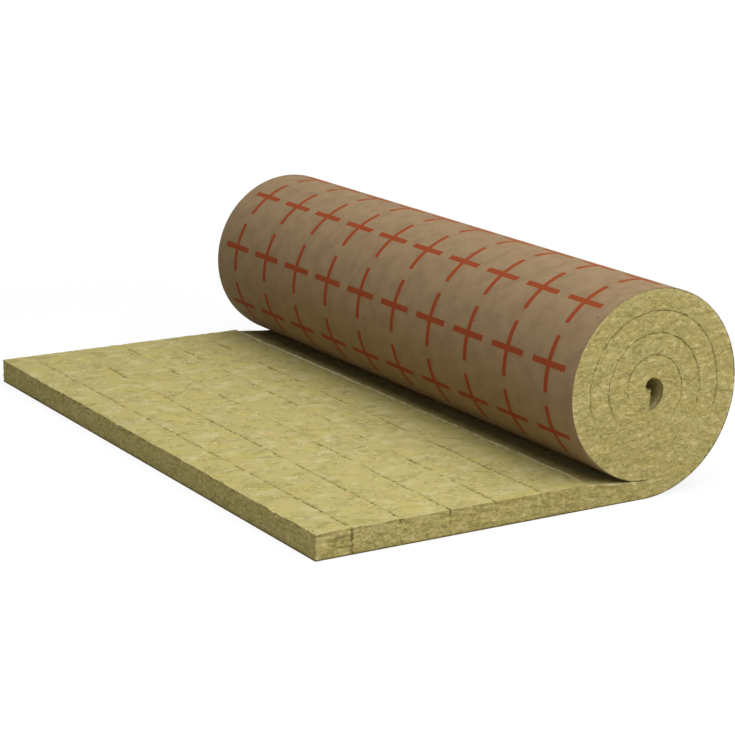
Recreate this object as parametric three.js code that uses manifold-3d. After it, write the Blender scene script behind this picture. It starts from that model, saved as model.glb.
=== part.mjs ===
// Insulation roll: a stone-wool lamella mat on a kraft-paper facing, partly rolled out on the floor.
//
// The facing is one sheet of paper. Strips of wool (the lamellas) are glued across it side by side.
// The mat lies wool up and facing down from its free end, leaves the floor, and winds back over
// itself anticlockwise, so that the facing is the outer skin of the roll.
//
// Frame: millimetres, +Z up, floor at Z = 0. Y runs along the roll's axis, and the free end is at -X.
// The origin is the middle of the bounding box at floor level.
//
// Sections are drawn in their own plane, with x from the free end towards the roll and y for height,
// and are then extruded across the mat's width.

import * as THREE from 'three';
import { mergeVertices } from 'three/addons/utils/BufferGeometryUtils.js';
import Module from 'manifold-3d';

// ---- Driving dimensions ----------------------------------------------------------------------

const MAT_WIDTH = 1000;            // along the roll's axis
const MAT_THICKNESS = 36;          // wool and facing together, where the mat lies loose
const FACING_THICKNESS = 0.5;      // kraft-paper laminate
const GLUE_GAP = 0.3;              // between the facing and the wool

const END_LAMELLA_WIDTH = 53;      // the strip cut through at the free end
const LAMELLA_WIDTH = 74.5;        // a whole strip, centre to centre of its joints
const WHOLE_LAMELLAS = 5;          // whole strips that lie flat behind the end strip
const JOINT_GAP = 0.4;             // between two strips

const LIFT_OFF_LENGTH = 523;       // from the free end to where the facing leaves the floor
const LIFT_OFF_RADIUS = 155;       // the facing's outer radius at that point
const TURN_PITCH = 31;             // radius lost in one turn, the mat's thickness as it is wound
const WOUND_TURNS = 4;             // from the lift-off point to the mat's inner end
const PRESSED_THICKNESS = 26;      // wool and facing under the roll's foot, which bears its weight
const SAG_HALVED_BY = 2;           // from each turn to the next one in

const SEAM_WIDTH = 2.4;            // the parting between two turns, as it shows on the roll's ends
const SEAM_DEPTH = 9;
const NIP_SETBACK = 1.2;           // from the facing's last visible edge to the foot of the nip
const SAG_REACH = THREE.MathUtils.degToRad(43);   // how far from the foot a turn still sags

// ---- Fineness of the round stretches ----------------------------------------------------------

const SKIN_STEP = THREE.MathUtils.degToRad(4);
const SEAM_STEP = THREE.MathUtils.degToRad(8);
const BORE_STEP = THREE.MathUtils.degToRad(12);
const SQUEEZE_STEPS = 8;
const CUT_OVERSHOOT = 5;           // how far a cutter stands out of the face it cuts

// ---- Finishes ---------------------------------------------------------------------------------

const woolFinish = () => new THREE.MeshStandardMaterial({ color: '#b3a56c', roughness: 1, metalness: 0 });
const kraftFinish = () => new THREE.MeshStandardMaterial({ color: '#86704f', roughness: 0.85, metalness: 0 });

// ---- The wound section ------------------------------------------------------------------------

const TURN = 2 * Math.PI;
const WOOL_INSET = FACING_THICKNESS + GLUE_GAP;
const LAST_JOINT = END_LAMELLA_WIDTH + WHOLE_LAMELLAS * LAMELLA_WIDTH;

// How far the facing of an inner turn sags towards the foot, where the turns below it are pressed thin.
function sag(angle) {
  const turn = Math.round(angle / TURN);
  if (turn < 1) return 0;
  const share = Math.max(0, 1 - ((angle - turn * TURN) / SAG_REACH) ** 2);
  return ((TURN_PITCH - PRESSED_THICKNESS) * share ** 2) / SAG_HALVED_BY ** (turn - 1);
}

// Outer radius of the facing. The angle starts at the foot of the roll and grows as the mat winds on.
function facingRadius(angle) {
  return LIFT_OFF_RADIUS - TURN_PITCH * (angle / TURN) + sag(angle);
}

// A point of the wound section, a given distance inside the facing's outer surface.
function woundPoint(angle, inset) {
  const radius = facingRadius(angle) - inset;
  return new THREE.Vector2(
    LIFT_OFF_LENGTH + radius * Math.sin(angle),
    LIFT_OFF_RADIUS - radius * Math.cos(angle),
  );
}

// The same, for a row of angles at an even step that doesn't pass the one given.
function woundArc(from, to, step, inset) {
  const count = Math.max(1, Math.ceil(Math.abs(to - from) / step));
  return Array.from({ length: count + 1 }, (_, i) => woundPoint(from + (to - from) * (i / count), inset));
}

// Height of the wool's top, which dips from the loose mat to the pressed one past the last flat strip.
function woolTop(x) {
  const share = THREE.MathUtils.clamp((x - LAST_JOINT) / (LIFT_OFF_LENGTH - LAST_JOINT), 0, 1);
  return THREE.MathUtils.lerp(MAT_THICKNESS, PRESSED_THICKNESS, share * (1.5 - 0.5 * share));
}

// The nip is where the first turn's facing comes down onto the wool that runs in under the roll.
function findNip() {
  let open = 0.75 * TURN;
  let closed = TURN;
  while (closed - open > 1e-6) {
    const middle = (open + closed) / 2;
    const skin = woundPoint(middle, 0);
    if (skin.y > woolTop(skin.x) + GLUE_GAP) {
      open = middle;
    } else {
      closed = middle;
    }
  }
  return open;
}

const NIP_ANGLE = findNip();
const NIP_FOOT_ANGLE = NIP_ANGLE + NIP_SETBACK / facingRadius(NIP_ANGLE);

// ---- Solids -----------------------------------------------------------------------------------

// Extrudes a section by a length along +Z of its own plane.
function extrude(outline, length, holes = []) {
  const shape = new THREE.Shape(outline);
  shape.holes = holes.map((hole) => new THREE.Path(hole));
  return new THREE.ExtrudeGeometry(shape, { depth: length, bevelEnabled: false, steps: 1 });
}

// Stands an extruded section up and centres it on the mat's width.
function acrossMat(name, geometry, material) {
  const mesh = new THREE.Mesh(geometry, material);
  mesh.name = name;
  mesh.rotation.x = Math.PI / 2;
  mesh.position.y = MAT_WIDTH / 2;
  return mesh;
}

// The paper: flat under the laid-out strips, then round the outside of the roll to the nip.
function makeFacing() {
  const outside = woundArc(0, NIP_ANGLE, SKIN_STEP, 0);
  const inside = woundArc(NIP_ANGLE, 0, SKIN_STEP, FACING_THICKNESS);
  const outline = [
    new THREE.Vector2(0, 0),
    ...outside,
    ...inside,
    new THREE.Vector2(0, FACING_THICKNESS),
  ];
  return acrossMat('kraft_facing', extrude(outline, MAT_WIDTH), kraftFinish());
}

// One laid-out strip of wool between two joints.
function makeLamella(name, start, end) {
  const height = MAT_THICKNESS - WOOL_INSET;
  const mesh = new THREE.Mesh(new THREE.BoxGeometry(end - start, MAT_WIDTH, height), woolFinish());
  mesh.name = name;
  mesh.position.set((start + end) / 2, 0, WOOL_INSET + height / 2);
  return mesh;
}

// The strips from the free end to the last flat joint.
function makeLamellas() {
  const joints = Array.from({ length: WHOLE_LAMELLAS + 1 }, (_, i) => END_LAMELLA_WIDTH + i * LAMELLA_WIDTH);
  const starts = [0, ...joints.slice(0, -1).map((joint) => joint + JOINT_GAP / 2)];
  return joints.map((joint, i) => makeLamella(`lamella_${i + 1}`, starts[i], joint - JOINT_GAP / 2));
}

// Outline of the wound wool, with the run-in under the roll and the nip above it.
function woundOutline() {
  const start = LAST_JOINT + JOINT_GAP / 2;
  const skin = woundArc(0, NIP_FOOT_ANGLE, SKIN_STEP, WOOL_INSET);
  const nipFoot = skin[skin.length - 1].x;
  const runIn = Array.from({ length: SQUEEZE_STEPS + 1 }, (_, i) => {
    const x = THREE.MathUtils.lerp(nipFoot, start, i / SQUEEZE_STEPS);
    return new THREE.Vector2(x, woolTop(x));
  });
  return [new THREE.Vector2(start, WOOL_INSET), ...skin, ...runIn];
}

// The hollow that the innermost turn leaves, closed on one side by the mat's straight inner end.
function boreOutline() {
  const from = WOUND_TURNS * TURN;
  const tip = TURN * Math.min(WOUND_TURNS + 1, LIFT_OFF_RADIUS / TURN_PITCH);
  return woundArc(from, tip, BORE_STEP, 0);
}

// A cutter that follows the parting between two turns, from the nip to the mat's inner end.
function seamCutter(nearEnd) {
  const from = NIP_ANGLE - SEAM_STEP / 2;
  const to = WOUND_TURNS * TURN;
  const outline = [
    ...woundArc(from, to, SEAM_STEP, -SEAM_WIDTH / 2),
    ...woundArc(to, from, SEAM_STEP, SEAM_WIDTH / 2),
  ];
  const cutter = extrude(outline, SEAM_DEPTH + CUT_OVERSHOOT);
  return cutter.translate(0, 0, nearEnd ? MAT_WIDTH - SEAM_DEPTH : -CUT_OVERSHOOT);
}

// ---- Joining and cutting ----------------------------------------------------------------------

const wasm = await Module();
wasm.setup();

function toSolid(geometry) {
  const bare = geometry.clone();
  bare.deleteAttribute('normal');
  bare.deleteAttribute('uv');
  const merged = mergeVertices(bare);
  return new wasm.Manifold(new wasm.Mesh({
    numProp: 3,
    vertProperties: new Float32Array(merged.attributes.position.array),
    triVerts: new Uint32Array(merged.index.array),
  }));
}

function toGeometry(solid) {
  const mesh = solid.getMesh();
  const geometry = new THREE.BufferGeometry();
  geometry.setAttribute('position', new THREE.BufferAttribute(mesh.vertProperties, mesh.numProp));
  geometry.setIndex(new THREE.BufferAttribute(mesh.triVerts, 1));
  return geometry;
}

// The rolled-up part of the mat: one solid with its bore, and its turns cut into both ends.
function makeWoundMat() {
  const body = toSolid(extrude(woundOutline(), MAT_WIDTH, [boreOutline()]));
  const seams = [true, false].map((nearEnd) => toSolid(seamCutter(nearEnd)));
  const cut = seams.reduce((solid, seam) => solid.subtract(seam), body);
  return acrossMat('wound_mat', toGeometry(cut), woolFinish());
}

// ---- The object -------------------------------------------------------------------------------

const mat = new THREE.Group();
mat.add(makeFacing(), ...makeLamellas(), makeWoundMat());

const insulationRoll = new THREE.Group();
insulationRoll.add(mat);

const furthestRight = Math.max(...woundArc(0, NIP_ANGLE, SKIN_STEP, 0).map((point) => point.x));
mat.position.x = -furthestRight / 2;

export default insulationRoll;
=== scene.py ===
"""A stone-wool lamella mat on kraft paper, laid out at one end and wound into a roll at the other.

Lengths are in metres, in the part's own frame: Z up, the floor at 0, Y along the roll's axis and
the mat's free end at -X. The mat's section repeats the rule of the part itself: flat from the free
end, then an even spiral that loses one pitch of radius in each turn.
"""

from __future__ import annotations

import logging
import math
from dataclasses import dataclass, field
from enum import Enum, IntEnum
from functools import partial
from typing import Any, Iterable

import bmesh
import bpy
import numpy as np
from mathutils import Matrix, Vector


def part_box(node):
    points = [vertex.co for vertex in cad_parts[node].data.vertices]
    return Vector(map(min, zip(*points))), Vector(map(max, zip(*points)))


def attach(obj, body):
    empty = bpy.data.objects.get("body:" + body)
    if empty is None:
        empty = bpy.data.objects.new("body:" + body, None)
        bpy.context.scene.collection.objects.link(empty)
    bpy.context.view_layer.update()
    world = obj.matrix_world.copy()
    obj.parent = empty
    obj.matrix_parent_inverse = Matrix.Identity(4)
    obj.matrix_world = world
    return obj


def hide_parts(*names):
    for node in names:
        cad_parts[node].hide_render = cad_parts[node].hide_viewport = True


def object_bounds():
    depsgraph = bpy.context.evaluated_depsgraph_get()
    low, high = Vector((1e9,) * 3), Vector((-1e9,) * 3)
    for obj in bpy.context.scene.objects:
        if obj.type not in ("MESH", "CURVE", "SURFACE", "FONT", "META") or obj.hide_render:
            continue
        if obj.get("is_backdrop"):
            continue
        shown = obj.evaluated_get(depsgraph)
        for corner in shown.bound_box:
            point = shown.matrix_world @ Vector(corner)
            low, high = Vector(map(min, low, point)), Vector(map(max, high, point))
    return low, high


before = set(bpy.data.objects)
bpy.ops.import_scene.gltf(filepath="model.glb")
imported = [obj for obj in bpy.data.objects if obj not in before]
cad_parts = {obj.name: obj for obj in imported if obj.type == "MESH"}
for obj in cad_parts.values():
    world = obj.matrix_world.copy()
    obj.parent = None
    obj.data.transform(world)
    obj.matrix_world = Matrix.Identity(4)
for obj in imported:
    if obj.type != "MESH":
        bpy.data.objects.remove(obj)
CAD_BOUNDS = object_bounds()

log = logging.getLogger("insulation_roll")

MM = 0.001
TURN = 2 * math.pi
BODY = "root"
FRAME_PIXELS = 735

Array = np.ndarray
Span = tuple[float, float]
Waves = tuple[tuple[float, float], ...]


# ---- Random fields -----------------------------------------------------------------------------

PRIMES = (73856093, 19349663)
SEED_STEP = 2654435761
MIXERS = ((15, 2246822519), (13, 3266489917))
WORD = 0xFFFFFFFF
HALF_WORD = 16
LOW_BITS = 0xFFFFFF
SWELL_PEAK = 0.6
FELT_STEP = 10
TUFT_FIELDS = (5, 6)
TUFT_DRIFT = 2.5
TUFT_BEND = 0.7
TUFT_FINER = 2.1
TUFT_COARSE = 0.6
TUFT_GAIN = 1.9
TUFT_FLOOR = 0.6
LINE_OFFSET = 0.31


def hashed(cells: Array, seed: int) -> Array:
    """Gives each whole-numbered cell of a lattice a value from -1 to 1.

    Args:
        cells: Whole numbers, with the last axis for the lattice's two directions.
        seed: Which of the many fields to read.

    Returns:
        One value for each cell.
    """
    mixed = (cells.astype(np.int64) * PRIMES).sum(-1) + seed * SEED_STEP
    for shift, factor in MIXERS:
        mixed = (mixed ^ (mixed >> shift)) * factor & WORD
    return ((mixed ^ (mixed >> HALF_WORD)) & LOW_BITS) / (LOW_BITS // 2) - 1


def swell(points: Array, size: float, seed: int) -> Array:
    """Reads a smooth random field whose hills and hollows are about one size across.

    Args:
        points: Places, with the last axis for their two coordinates.
        size: Distance between two of the field's knots.
        seed: Which field to read.

    Returns:
        Values from about -1 to 1, one for each place.
    """
    scaled = points / size
    low = np.floor(scaled)
    part = scaled - low
    blend = part**3 * (part * (6 * part - 15) + 10)
    total = np.zeros(points.shape[:-1])
    for corner in np.ndindex(2, 2):
        bearing = math.pi * hashed(low + corner, seed)
        away = part - corner
        slope = np.cos(bearing) * away[..., 0] + np.sin(bearing) * away[..., 1]
        total += np.prod(np.where(corner, blend, 1 - blend), axis=-1) * slope
    return total / SWELL_PEAK


def tufts(points: Array, size: float, seed: int) -> Array:
    """Reads a field of rounded curls with sharp creases between them.

    Args:
        points: Places, with the last axis for their coordinates.
        size: About two curls.
        seed: Which field to read.

    Returns:
        Values from about -0.6 in a crease to 1 on a crest.
    """
    drift = np.stack([swell(points, TUFT_DRIFT * size, seed + k) for k in TUFT_FIELDS], axis=-1)
    bent = points + TUFT_BEND * size * drift
    coarse = np.abs(swell(bent, size, seed))
    fine = np.abs(swell(bent, size / TUFT_FINER, seed + 1))
    return TUFT_GAIN * (TUFT_COARSE * coarse + (1 - TUFT_COARSE) * fine) - TUFT_FLOOR


def felt(points: Array, layers: Waves, seed: int) -> Array:
    """Lays finer and finer curls over a broad swell.

    Args:
        points: Places, with the last axis for their coordinates.
        layers: Share and size of the swell, then of each layer of curls.
        seed: Which field to read.

    Returns:
        Values from about -1 to 1, one for each place.
    """
    kinds = (swell, *(tufts,) * (len(layers) - 1))
    return sum(
        share * read(points, size, seed + FELT_STEP * k)
        for k, (read, (share, size)) in enumerate(zip(kinds, layers))
    )


def wander(place: Array, step: float, seed: int) -> Array:
    """Reads a smooth random curve, from -1 to 1, at places along a line."""
    line = np.asarray(place, float)
    return swell(np.stack([line, np.full_like(line, LINE_OFFSET * step)], axis=-1), step, seed)


def wavy(place: Array, waves: Waves, seed: int) -> Array:
    """Adds up random curves, each with a share and a length, from one field and the next."""
    return sum(share * wander(place, step, seed + k) for k, (share, step) in enumerate(waves))


def ease(value: Array, low: float, high: float) -> Array:
    """Runs smoothly from 0 at low to 1 at high."""
    share = np.clip((value - low) / (high - low), 0, 1)
    return share * share * (3 - 2 * share)


def bell(away: Array, reach: float) -> Array:
    """Falls off smoothly from 1 at a line to next to nothing at twice the reach."""
    return np.exp(-((away / reach) ** 2))


def graded(length: float, cell: float, edge: Iterable[float], both: bool = True) -> Array:
    """Divides a length into even cells, with finer steps at its edges.

    Args:
        length: The length to divide.
        cell: About how long the even cells are.
        edge: Distances of the finer steps from an edge, the edge itself left out.
        both: Whether the far edge has the finer steps too.

    Returns:
        Places from 0 to the length.
    """
    start = [0.0, *edge]
    end = [length - step for step in reversed(start)] if both else [length]
    count = max(1, round((end[0] - start[-1]) / cell))
    return np.array(start[:-1] + list(np.linspace(start[-1], end[0], count + 1)) + end[1:])


# ---- The mat's section -------------------------------------------------------------------------


@dataclass(frozen=True)
class MatSection:
    """The mat seen along the roll's axis: flat from the free end, then wound up.

    An angle starts at the foot of the roll and grows as the mat winds on, up the right-hand side
    and over the top. An inset is a depth below the facing's outer surface.
    """

    free_end: float
    half_width: float
    thickness: float
    last_joint: float
    facing: float = 0.5 * MM
    glue: float = 0.3 * MM
    flat_length: float = 523 * MM
    radius: float = 155 * MM
    pitch: float = 31 * MM
    turns: float = 4.0
    pressed: float = 26 * MM
    sag_reach: float = math.radians(43)
    sag_halved_by: float = 2.0
    dip: float = 1.5

    HALVINGS = 40

    @classmethod
    def from_frame(cls) -> MatSection:
        """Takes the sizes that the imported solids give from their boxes.

        Returns:
            The mat's section.
        """
        facing_low, facing_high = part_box("kraft_facing")
        _, strip_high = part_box("lamella_6")
        wound_low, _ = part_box("wound_mat")
        return cls(
            free_end=facing_low.x,
            half_width=(facing_high.y - facing_low.y) / 2,
            thickness=strip_high.z,
            last_joint=(strip_high.x + wound_low.x) / 2,
        )

    @property
    def wool_inset(self) -> float:
        """Depth of the wool's glued side below the facing's outer surface."""
        return self.facing + self.glue

    @property
    def foot(self) -> float:
        """X of the line where the facing leaves the floor, straight below the roll's middle."""
        return self.free_end + self.flat_length

    def sag(self, angle: Array | float) -> Array:
        """How far a turn sags towards the foot, where the turns below it are pressed thin.

        Args:
            angle: Angles past the roll's foot.

        Returns:
            A distance for each angle.
        """
        turn = np.round(np.asarray(angle) / TURN)
        share = np.clip(1 - ((angle - turn * TURN) / self.sag_reach) ** 2, 0, None)
        sag = (self.pitch - self.pressed) * share**2 / self.sag_halved_by ** (turn - 1)
        return np.where(turn < 1, 0.0, sag)

    def radius_at(self, angle: Array | float) -> Array | float:
        """Outer radius of the facing at an angle."""
        return self.radius - self.pitch * angle / TURN + self.sag(angle)

    def wound(self, angle: Array, inset: Array | float) -> tuple[Array, Array]:
        """X and Z of points in the wound part."""
        radius = self.radius_at(angle) - inset
        return self.foot + radius * np.sin(angle), self.radius - radius * np.cos(angle)

    def wool_top(self, x: Array | float) -> Array:
        """Finds the wool's top, which dips from the loose mat to the pressed one at the foot.

        Args:
            x: Places along the mat.

        Returns:
            Its height at each.
        """
        share = (np.asarray(x, float) - self.last_joint) / (self.foot - self.last_joint)
        share = np.clip(share, 0, 1)
        dipped = share * (self.dip - (self.dip - 1) * share)
        return self.thickness + (self.pressed - self.thickness) * dipped

    def thickness_at(self, angle: Array) -> Array:
        """Thickness of the wound mat at an angle, facing and wool together."""
        return self.radius_at(angle) - self.radius_at(angle + TURN)

    def innermost(self, angle: Array) -> Array:
        """Whether a place is on the last turn, which has the bore inside it."""
        return angle > (self.turns - 1) * TURN

    def covered(self, angle: Array) -> Array:
        """Whether a place is in the wound part and has another turn inside it."""
        return (angle > 0) & (angle < (self.turns - 1) * TURN)

    def nip_angle(self) -> float:
        """Finds where the first turn's facing comes down onto the wool that runs in under it.

        Returns:
            The angle past the roll's foot.
        """
        low, high = 0.75 * TURN, TURN
        for _ in range(self.HALVINGS):
            middle = (low + high) / 2
            x, z = self.wound(np.array(middle), 0.0)
            clear = z > self.wool_top(x) + self.glue
            low, high = (middle, high) if clear else (low, middle)
        return low

    def length_at(self, angle: Array | float, depth: float = 0.0) -> Array | float:
        """Length from the free end to an angle, along the facing or at a depth inside it."""
        lost = self.pitch * angle * angle / (2 * TURN)
        return self.flat_length + (self.radius - depth) * angle - lost


# ---- Meshes ------------------------------------------------------------------------------------


class Shell:
    """A closed skin put together from grids of points that share their edges."""

    SHARP = math.radians(62)

    def __init__(self) -> None:
        """Starts with no points and no faces."""
        self.points: list[Array] = []
        self.lie: list[Array] = []
        self.relief: list[Array] = []
        self.faces: list[list[int]] = []
        self.count = 0

    def add(self, points: Array, lie: Array, relief: Array | float = -1.0) -> Array:
        """Adds a grid of points.

        Args:
            points: Places, with X, Y and Z on the last axis.
            lie: The same places in the mat as it would lie unrolled: along it, across it and up.
            relief: How far each stands out of its surface, from -1 for a pit to 1 for a crest. It
                also carries painted shade for cracks, partings and undercuts, and part painted
                highlight for pale edges.

        Returns:
            The points' numbers, in the shape of the grid.
        """
        shape = points.shape[:-1]
        total = int(np.prod(shape))
        self.points.append(points.reshape(-1, 3))
        self.lie.append(np.broadcast_to(lie, points.shape).reshape(-1, 3))
        self.relief.append(np.broadcast_to(relief, shape).reshape(-1))
        numbers = np.arange(self.count, self.count + total).reshape(shape)
        self.count += total
        return numbers

    def grid(self, numbers: Array) -> None:
        """Lays four-sided faces over a grid of point numbers."""
        corners = numbers[:-1, :-1], numbers[1:, :-1], numbers[1:, 1:], numbers[:-1, 1:]
        self.faces += np.stack(corners, axis=-1).reshape(-1, 4).tolist()

    def wall(self, upper: Array, lower: Array, first: Iterable[int], last: Iterable[int]) -> None:
        """Joins two chains of as many points by one row of faces.

        Args:
            upper: Point numbers of one chain.
            lower: Point numbers of the other.
            first: Point numbers between the two chains at their start, from upper to lower.
            last: The same at their end.
        """
        rows = np.stack([upper[:-1], upper[1:], lower[1:], lower[:-1]], axis=-1).tolist()
        rows[0] = rows[0] + list(first)[::-1]
        rows[-1] = rows[-1][:2] + list(last) + rows[-1][2:]
        self.faces += rows

    def fan(self, fine: Array, coarse: Array, places: Array) -> None:
        """Joins a chain of many points to one of few.

        Args:
            fine: Point numbers of the chain with many points.
            coarse: Point numbers of the chain with few.
            places: For each point of the coarse chain, which point of the fine one it faces.
        """
        for k in range(len(coarse) - 1):
            chain = fine[places[k] : places[k + 1] + 1].tolist()
            self.faces.append(chain + [int(coarse[k + 1]), int(coarse[k])])

    def finished(self, name: str, material: bpy.types.Material) -> bpy.types.Object:
        """Makes the object, with its faces pointing out.

        Args:
            name: The piece's name.
            material: Its finish.

        Returns:
            The new object, at the origin.
        """
        points = np.concatenate(self.points)
        mesh = bpy.data.meshes.new(name)
        mesh.from_pydata(points.tolist(), [], self.faces)
        relief = mesh.attributes.new(StoneWool.RELIEF, "FLOAT", "POINT")
        relief.data.foreach_set("value", np.concatenate(self.relief).astype(np.float32))
        lie = mesh.attributes.new(StoneWool.LIE, "FLOAT_VECTOR", "POINT")
        lie.data.foreach_set("vector", np.concatenate(self.lie).astype(np.float32).reshape(-1))
        face_outward(mesh)
        smooth(mesh, self.SHARP)
        mesh.materials.append(material)
        return in_scene(name, mesh)


def smooth(mesh: bpy.types.Mesh, sharp: float) -> None:
    """Shades a mesh smooth, apart from its edges over a given angle."""
    mesh.shade_smooth()
    mesh.set_sharp_from_angle(angle=sharp)


def face_outward(mesh: bpy.types.Mesh) -> None:
    """Turns every face of a closed mesh outwards.

    Args:
        mesh: The mesh, which is changed.
    """
    skin = bmesh.new()
    skin.from_mesh(mesh)
    bmesh.ops.recalc_face_normals(skin, faces=skin.faces)
    skin.to_mesh(mesh)
    skin.free()


def in_scene(name: str, mesh: bpy.types.Mesh) -> bpy.types.Object:
    """Links a mesh into the scene.

    Args:
        name: The object's name.
        mesh: Its mesh.

    Returns:
        The new object.
    """
    piece = bpy.data.objects.new(name, mesh)
    bpy.context.scene.collection.objects.link(piece)
    return piece


# ---- Nodes -------------------------------------------------------------------------------------

NOISE = "ShaderNodeTexNoise"
MATHS = "ShaderNodeMath"
VECTOR_MATHS = "ShaderNodeVectorMath"
RANGE = "ShaderNodeMapRange"
MIX = "ShaderNodeMix"
READ = "ShaderNodeAttribute"
SPLIT = "ShaderNodeSeparateXYZ"
JOIN = "ShaderNodeCombineXYZ"
BUMP = "ShaderNodeBump"


def add_node(tree: bpy.types.NodeTree, kind: str, *inputs: Any, **named: Any) -> bpy.types.Node:
    """Adds a node, with its settings, and fills or links its inputs.

    Args:
        tree: The tree that the node joins.
        kind: The node's type.
        inputs: For the live inputs in their order, a value, or the node or output that feeds it.
        named: The same by name. A capital starts the name of an input, with _ for a blank, and a
            small letter that of a setting.

    Returns:
        The new node.
    """
    node = tree.nodes.new(kind)
    feeds = {key.replace("_", " "): value for key, value in named.items() if key[0].isupper()}
    for key, value in named.items():
        if key[0].islower():
            setattr(node, key, value)
    live = [socket for socket in node.inputs if socket.enabled]
    pairs = list(zip(live, inputs)) + [(s, feeds[s.name]) for s in live if s.name in feeds]
    for socket, value in pairs:
        if isinstance(value, bpy.types.Node):
            value = next(output for output in value.outputs if output.enabled)
        if isinstance(value, bpy.types.NodeSocket):
            tree.links.new(value, socket)
        else:
            socket.default_value = value
    return node


def srgb(code: str) -> tuple[float, float, float, float]:
    """Turns an sRGB colour into the linear one that a shader takes.

    Args:
        code: The colour, such as #b3a56c.

    Returns:
        Linear red, green and blue, and full cover.
    """
    parts = [int(code[k : k + 2], 16) / 255 for k in (1, 3, 5)]
    linear = [p / 12.92 if p <= 0.04045 else ((p + 0.055) / 1.055) ** 2.4 for p in parts]
    return (*linear, 1.0)


def new_finish(name: str) -> tuple[bpy.types.Material, Any]:
    """Makes an empty finish.

    Args:
        name: The finish's name.

    Returns:
        The material, and what adds a node to it.
    """
    material = bpy.data.materials.new(name)
    material.use_nodes = True
    return material, partial(add_node, material.node_tree)


def feed_shader(
    material: bpy.types.Material,
    colour: bpy.types.Node,
    roughness: float,
    gloss: float,
    bump: bpy.types.Node | None = None,
) -> bpy.types.Material:
    """Feeds a finish's shader.

    Args:
        material: The finish.
        colour: The node that mixes its colour.
        roughness: How matt it is.
        gloss: Its specular level.
        bump: The node that bends its normal, or None.

    Returns:
        The same finish, ready for use.
    """
    tree = material.node_tree
    sockets = tree.nodes["Principled BSDF"].inputs
    tree.links.new(colour.outputs[2], sockets["Base Color"])
    if bump is not None:
        tree.links.new(bump.outputs["Normal"], sockets["Normal"])
    sockets["Roughness"].default_value = roughness
    sockets["Specular IOR Level"].default_value = gloss
    return material


# ---- Finishes ----------------------------------------------------------------------------------


@dataclass(frozen=True)
class Shade:
    """A colour that comes in as some value runs from where it starts to where it is full."""

    colour: str
    start: float
    full: float

    def over(self, add: Any, value: Any, colour: Any) -> bpy.types.Node:
        """Lays the colour over another, as far as the value says."""
        share = add(RANGE, value, self.start, self.full, interpolation_type="SMOOTHSTEP")
        return add(MIX, share, colour, srgb(self.colour), data_type="RGBA")


@dataclass(frozen=True)
class Blotches(Shade):
    """Random blotches of one colour, of one size, read from one of many fields."""

    size: float
    pattern: float = 0.0
    detail: float = 1.0

    def strewn(self, add: Any, place: Any, colour: Any) -> bpy.types.Node:
        """Strews the blotches over a colour, by places in the pattern."""
        sizes = {"W": self.pattern, "Scale": 1 / self.size, "Detail": self.detail}
        return self.over(add, add(NOISE, place, noise_dimensions="4D", **sizes), colour)


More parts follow.
